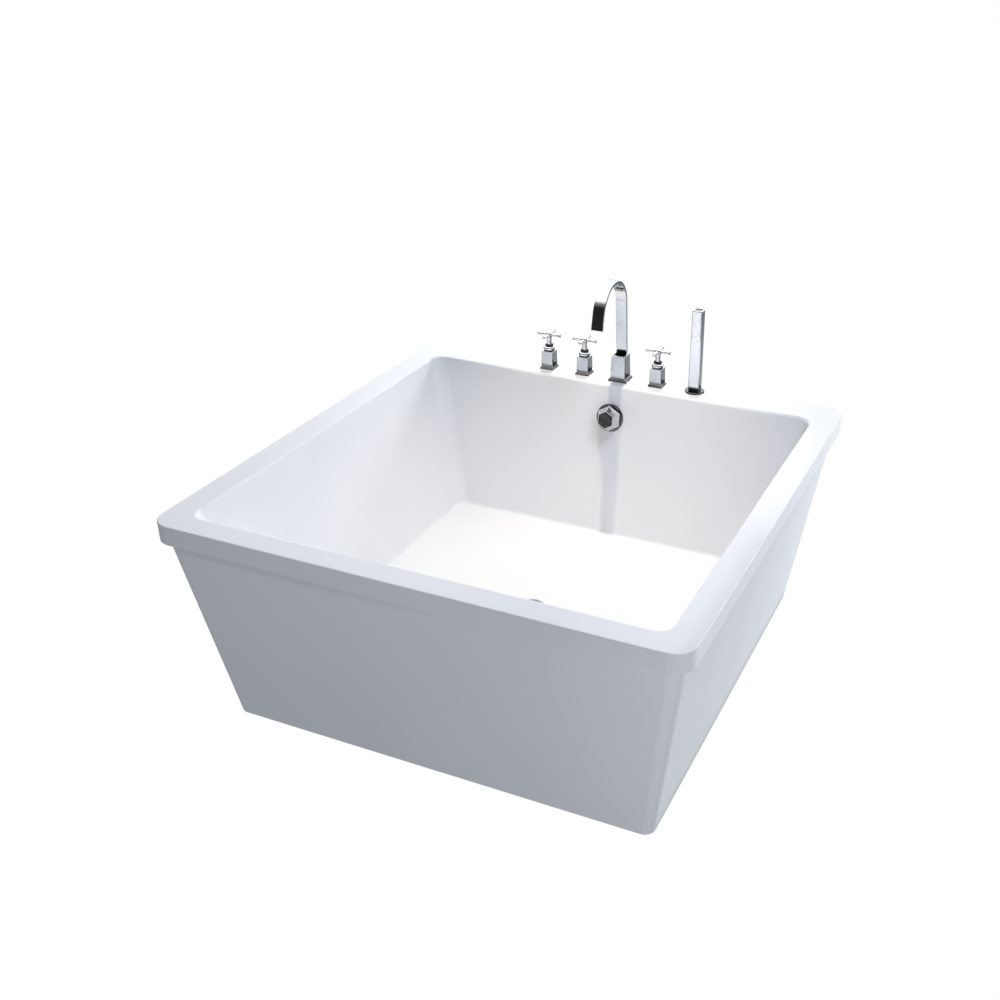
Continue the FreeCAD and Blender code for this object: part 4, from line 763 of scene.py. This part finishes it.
# %% Hand shower
HANDSET_X = 0.210
WAND_DEEP, WAND_TOP = 0.0130, 0.2230
RECESS_HALF, RECESS_FLOOR = 0.0096, 0.2210
ring_section = [(0, 0.0140, 0.0), (0.0003, 0.0260, 0.0), (0.0020, 0.0260, 0.0050), (0, 0.0120, 0.0050)]
handset_ring = turned("handset_ring_dressed", ring_section, on_rim(HANDSET_X))
# The ring takes the nearly black chrome: painted shade and dark reflection.
dress(handset_ring, smoked_chrome, "root", "chrome", "handset_ring")
cradle_rows = [(0, 0.0130, 0.0115, 0.003, 0.0045), (0.0004, 0.0142, 0.0124, 0.003, 0.0045),
               (0.0006, 0.0148, 0.0128, 0.003, 0.0136), (0, 0.0120, 0.0110, 0.003, 0.0138)]
handset_cradle = square_stack("handset_cradle_dressed", cradle_rows, HANDSET_X)
dress(handset_cradle, moulded_black, "root", "black_plastic", "handset_cradle")
wand_rows = [(0, 0.0135, 0.0115, 0.003, 0.0140), (0.0008, 0.0150, WAND_DEEP, 0.003, 0.0140),
             (0.0025, 0.0135, WAND_DEEP, 0.003, WAND_TOP), (0.0006, 0.0098, 0.0095, 0.002, WAND_TOP),
             (0.0004, 0.0092, 0.0089, 0.002, 0.2218), (0, 0.0060, 0.0058, 0.002, 0.2218)]
handset_wand = square_stack("handset_wand", wand_rows, HANDSET_X)
# The wand takes the brighter chrome, a painted brighter reflection.
dress(handset_wand, wand_chrome, "handset", "chrome", "handset_body")
# The faces in the recess at the top of the wand take the nearly black chrome: painted shade in the recess.
handset_wand.data.materials.append(smoked_chrome)
for face in handset_wand.data.polygons:
    aside = max(abs(face.center.x - HANDSET_X), abs(face.center.y - TAP_Y))
    face.material_index = int(aside < RECESS_HALF and face.center.z > RIM_Z + RECESS_FLOOR)

# %% Spray panel
PANEL_HALF, PANEL_FOOT, PANEL_TOP = 0.0112, 0.1441, 0.2149
PANEL_MIDDLE = (PANEL_FOOT + PANEL_TOP) / 2
PANEL_SUNK, GROOVE = 0.003, 0.0005


def panel_on_wand(name, margin, proud, corner=0.0012, edge=0.0004):
    """A thin panel let into the wand's front, standing proud of it."""
    half = PANEL_HALF + margin
    tall = (PANEL_TOP - PANEL_FOOT) / 2 + margin
    front = proud + PANEL_SUNK
    section = [(0, half, tall, corner, 0.0), (edge, half, tall, corner, front),
               (0, half - 2 * edge, tall - 2 * edge, corner, front)]
    middle = Vector((HANDSET_X, TAP_Y - WAND_DEEP + PANEL_SUNK, RIM_Z + PANEL_MIDDLE))
    facing = Matrix.Translation(middle) @ Matrix.Rotation(math.pi / 2, 4, "X")
    return stack(name, [square_ring(*row, steps=4) for row in centred(section)], facing)


panel_white = plain_finish("panel_white", (0.93, 0.935, 0.94), (0.96, 0.96, 0.965), (0.10, 0.18),
                           120, 0.00001, Metallic=0.7)
# The groove round the spray panel is a thin black rim: painted shade in the groove.
dress(panel_on_wand("spray_groove", GROOVE, 0.00006), moulded_black, "handset", "black_plastic")
spray_panel = panel_on_wand("spray_panel", 0, 0.0006)
dress(spray_panel, panel_white, "handset", "spray_silicone", "handset_spray_plate")

# %% [markdown]
# Water leaves the panel through rows of soft nozzles that a thumb can rub clean of lime.
# They are one small cone set on every point of a grid, so the rows can be counted out again with two numbers.

# %% Spray nozzles
NOZZLE_TAPER, NOZZLE_SIDES, NOZZLE_DEEP = 0.7, 10, 0.0135
nozzle_tree, given, leave = new_tree(
    "nozzle_grid", Columns="Int", Rows="Int", Width="Float", Height="Float", Radius="Float", Length="Float",
    Centre="Vector", Material="Material")
lattice = add_node(nozzle_tree, "GeometryNodeMeshGrid", {
    "Size X": given["Width"], "Size Y": given["Height"],
    "Vertices X": given["Columns"], "Vertices Y": given["Rows"]})
nozzle = add_node(nozzle_tree, "GeometryNodeMeshCone", {
    "Vertices": NOZZLE_SIDES, "Radius Top": calc(nozzle_tree, "MULTIPLY", given["Radius"], NOZZLE_TAPER),
    "Radius Bottom": given["Radius"], "Depth": given["Length"]})
copies = add_node(nozzle_tree, "GeometryNodeInstanceOnPoints", {
    "Points": lattice.outputs["Mesh"], "Instance": nozzle.outputs["Mesh"]})
standing = add_node(nozzle_tree, "GeometryNodeTransform", {
    "Geometry": copies.outputs[0], "Translation": given["Centre"], "Rotation": (math.pi / 2, 0, 0)})
close_tree(nozzle_tree, leave, standing.outputs[0], given["Material"])
silicone = plain_finish("white_silicone", (0.90, 0.905, 0.91), (0.94, 0.94, 0.945), (0.35, 0.5), 120, 0.00002)
nozzles = grow("spray_nozzles", nozzle_tree, Columns=4, Rows=11, Width=0.0150, Height=0.0600, Radius=0.0008,
               Length=0.0008, Centre=(HANDSET_X, TAP_Y - NOZZLE_DEEP, RIM_Z + PANEL_MIDDLE),
               Material=silicone)
dress(nozzles, silicone, "handset", "spray_silicone")

# %% [markdown]
# The drain dial on the back wall is a six-sided cone frustum in chrome painted greyer, painted shade and
# darker reflection, over a round flange in chrome painted nearly black, painted shade and dark reflection.
# Its axis is square to the leaning wall, so both pieces are made upright and then turned onto it.

# %% Drain dial
DIAL_Y, DIAL_Z = 0.48774, 0.434
WALL_LEAN = math.atan2(MOUTH_DEEP - FLOOR_DEEP, RIM_Z - FLOOR_Z)
on_wall = Matrix.Translation((0, DIAL_Y, DIAL_Z)) @ Matrix.Rotation(math.pi / 2 - WALL_LEAN, 4, "X")


def six_ring(flat, corner, z, steps=5, side=4, crown=0.00025):
    """Points round a hexagon with eased corners; flat is half the width across flats."""
    ring, reach = [], flat / math.cos(math.pi / 6)
    inner = reach - corner / math.cos(math.pi / 6)
    arcs = []
    for number in range(6):
        middle = math.pi / 6 + number * math.pi / 3
        hub = Vector((inner * math.cos(middle), inner * math.sin(middle), z))
        angles = [middle + math.pi / 6 * (2 * step / steps - 1) for step in range(steps + 1)]
        arcs.append([hub + Vector((math.cos(a), math.sin(a), 0)) * corner for a in angles])
    for number in range(6):
        start, end = arcs[number][-1], arcs[(number + 1) % 6][0]
        facing = (number + 1) * math.pi / 3
        outward = Vector((math.cos(facing), math.sin(facing), 0))
        ring += arcs[number]
        for step in range(1, side + 1):
            share = step / (side + 1)
            ring.append(start.lerp(end, share) + outward * crown * 4 * share * (1 - share))
    return ring


flange = [(0, 0.0240, 0.0), (0.0003, 0.0380, 0.0), (0.0026, 0.0380, 0.0050), (0, 0.0060, 0.0050)]
# The flange takes the nearly black chrome: painted shade and dark reflection.
dress(turned("overflow_flange_dressed", flange, on_wall), smoked_chrome, "root", "chrome", "overflow_flange")
dial = [(0, 0.0250, 0.002, 0.0080), (0.0005, 0.0305, 0.002, 0.0080), (0.0015, 0.0305, 0.002, 0.0130),
        (0.0014, 0.0210, 0.002, 0.0350), (0, 0.0100, 0.002, 0.0348)]
rings = [six_ring(*row) for row in ease(dial)]
dress(stack("drain_dial", rings, on_wall), dial_chrome, "waste_knob", "chrome", "overflow_knob")

# %% [markdown]
# The drain sits in the middle of the floor: a flat ring with a recessed seat, and a domed plug that stands
# open on its stem. Their chrome is painted greyer than the taps', a painted darker reflection, so that they
# show on the white floor.

# %% Drain and plug
on_floor = Matrix.Translation((0, 0, FLOOR_Z))
drain = [(0, 0.0190, -0.034), (0, 0.0230, -0.034), (0, 0.0230, 0.0), (0.0003, 0.0350, 0.0),
         (0.0016, 0.0350, 0.0030), (0.0008, 0.0293, 0.0030), (0.0003, 0.0293, 0.0010),
         (0.0008, 0.0190, 0.0010)]
rings = [round_ring(*row) for row in ease(drain, loop=True)]
dress(stack("drain_ring", rings, on_floor, loop=True), drain_chrome, "root", "chrome", "drain_flange")
DOME_RADIUS, DOME_FOOT, DOME_RISE = 0.0286, 0.0138, 0.0035
plug = [(0, 0.0010, -0.0447), (0, 0.0030, -0.0447), (0, 0.0030, 0.0113), (0.0004, 0.0288, 0.0113),
        (0.0012, 0.0290, 0.0136)]
for a in (0.2, 0.45, 0.7, 0.95, 1.2, 1.4, 1.52):
    plug.append((0, DOME_RADIUS * math.cos(a), DOME_FOOT + DOME_RISE * math.sin(a)))
dress(turned("plug_dome", plug, on_floor), plug_chrome, "plug", "chrome", "drain_plug")

# %% [markdown]
# Under the bath are a board, a steel frame with screw feet, plastic waste pipes and brass valve bodies.
# Their shapes are right as they come from the frame, so they only get finishes of their own.

# %% Finishes under the bath
plywood, tree, shader = new_finish("bare_plywood", Roughness=0.6)
plies = grain(tree, 1.0, (6, 6, 380), detail=2)
tree.links.new(two_tone(tree, plies, (0.42, 0.27, 0.14), (0.62, 0.45, 0.27)), shader.inputs["Base Color"])
relief(tree, shader, grain(tree, 40, (1, 14, 14)), 0.0004)
zinc_paint = plain_finish("zinc_paint", (0.36, 0.37, 0.38), (0.47, 0.48, 0.49), (0.35, 0.55), 90, 0.00008,
                          Metallic=0.7)
plated_steel = plain_finish("plated_steel", (0.45, 0.46, 0.47), (0.56, 0.57, 0.58), (0.25, 0.45), 60, 0.00005,
                            (6, 6, 60), Metallic=1.0)
moulded_grey = plain_finish("moulded_grey", (0.56, 0.57, 0.58), (0.63, 0.64, 0.65), (0.4, 0.55), 70, 0.00005)
valve_brass = plain_finish("valve_brass", (0.55, 0.38, 0.14), (0.68, 0.50, 0.22), (0.22, 0.42), 70, 0.00004,
                           Metallic=1.0)
drawn_copper = plain_finish("drawn_copper", (0.62, 0.29, 0.18), (0.75, 0.40, 0.26), (0.2, 0.4), 50, 0.00004,
                            Metallic=1.0)
feet = ["foot_front_left", "foot_front_right", "foot_back_left", "foot_back_right"]
under_finishes = {
    plywood: ["base_board"],
    zinc_paint: ["frame_rail_left", "frame_rail_right", "frame_cross_front", "frame_cross_back"],
    plated_steel: ["foot_nuts", *feet, "overflow_spindle"],
    moulded_grey: ["waste_body", "waste_tail", "overflow_body", "overflow_pipe", "hose_guide"],
    valve_brass: ["deck_nuts", "spout_shank", "valve_cartridges", "handset_inlet"]
    + [valve + part for valve in TAP_X for part in ("_body", "_spindle")],
    drawn_copper: ["hot_link_pipe", "mixed_link_pipe", "shower_link_pipe"],
    ring_rubber: ["waste_gaskets", "deck_washers"],
    moulded_black: ["plug_cable"],
}
for material, names in under_finishes.items():
    for name in names:
        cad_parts[name].data.materials.clear()
        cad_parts[name].data.materials.append(material)
    print(material.name, "on", len(names), "nodes")

# %% [markdown]
# Last, the dressed bath is measured, and its bounds are printed.

# %% Measure and finish
low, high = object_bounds()
print("dressed", [round(v, 4) for v in (*low, *high)])
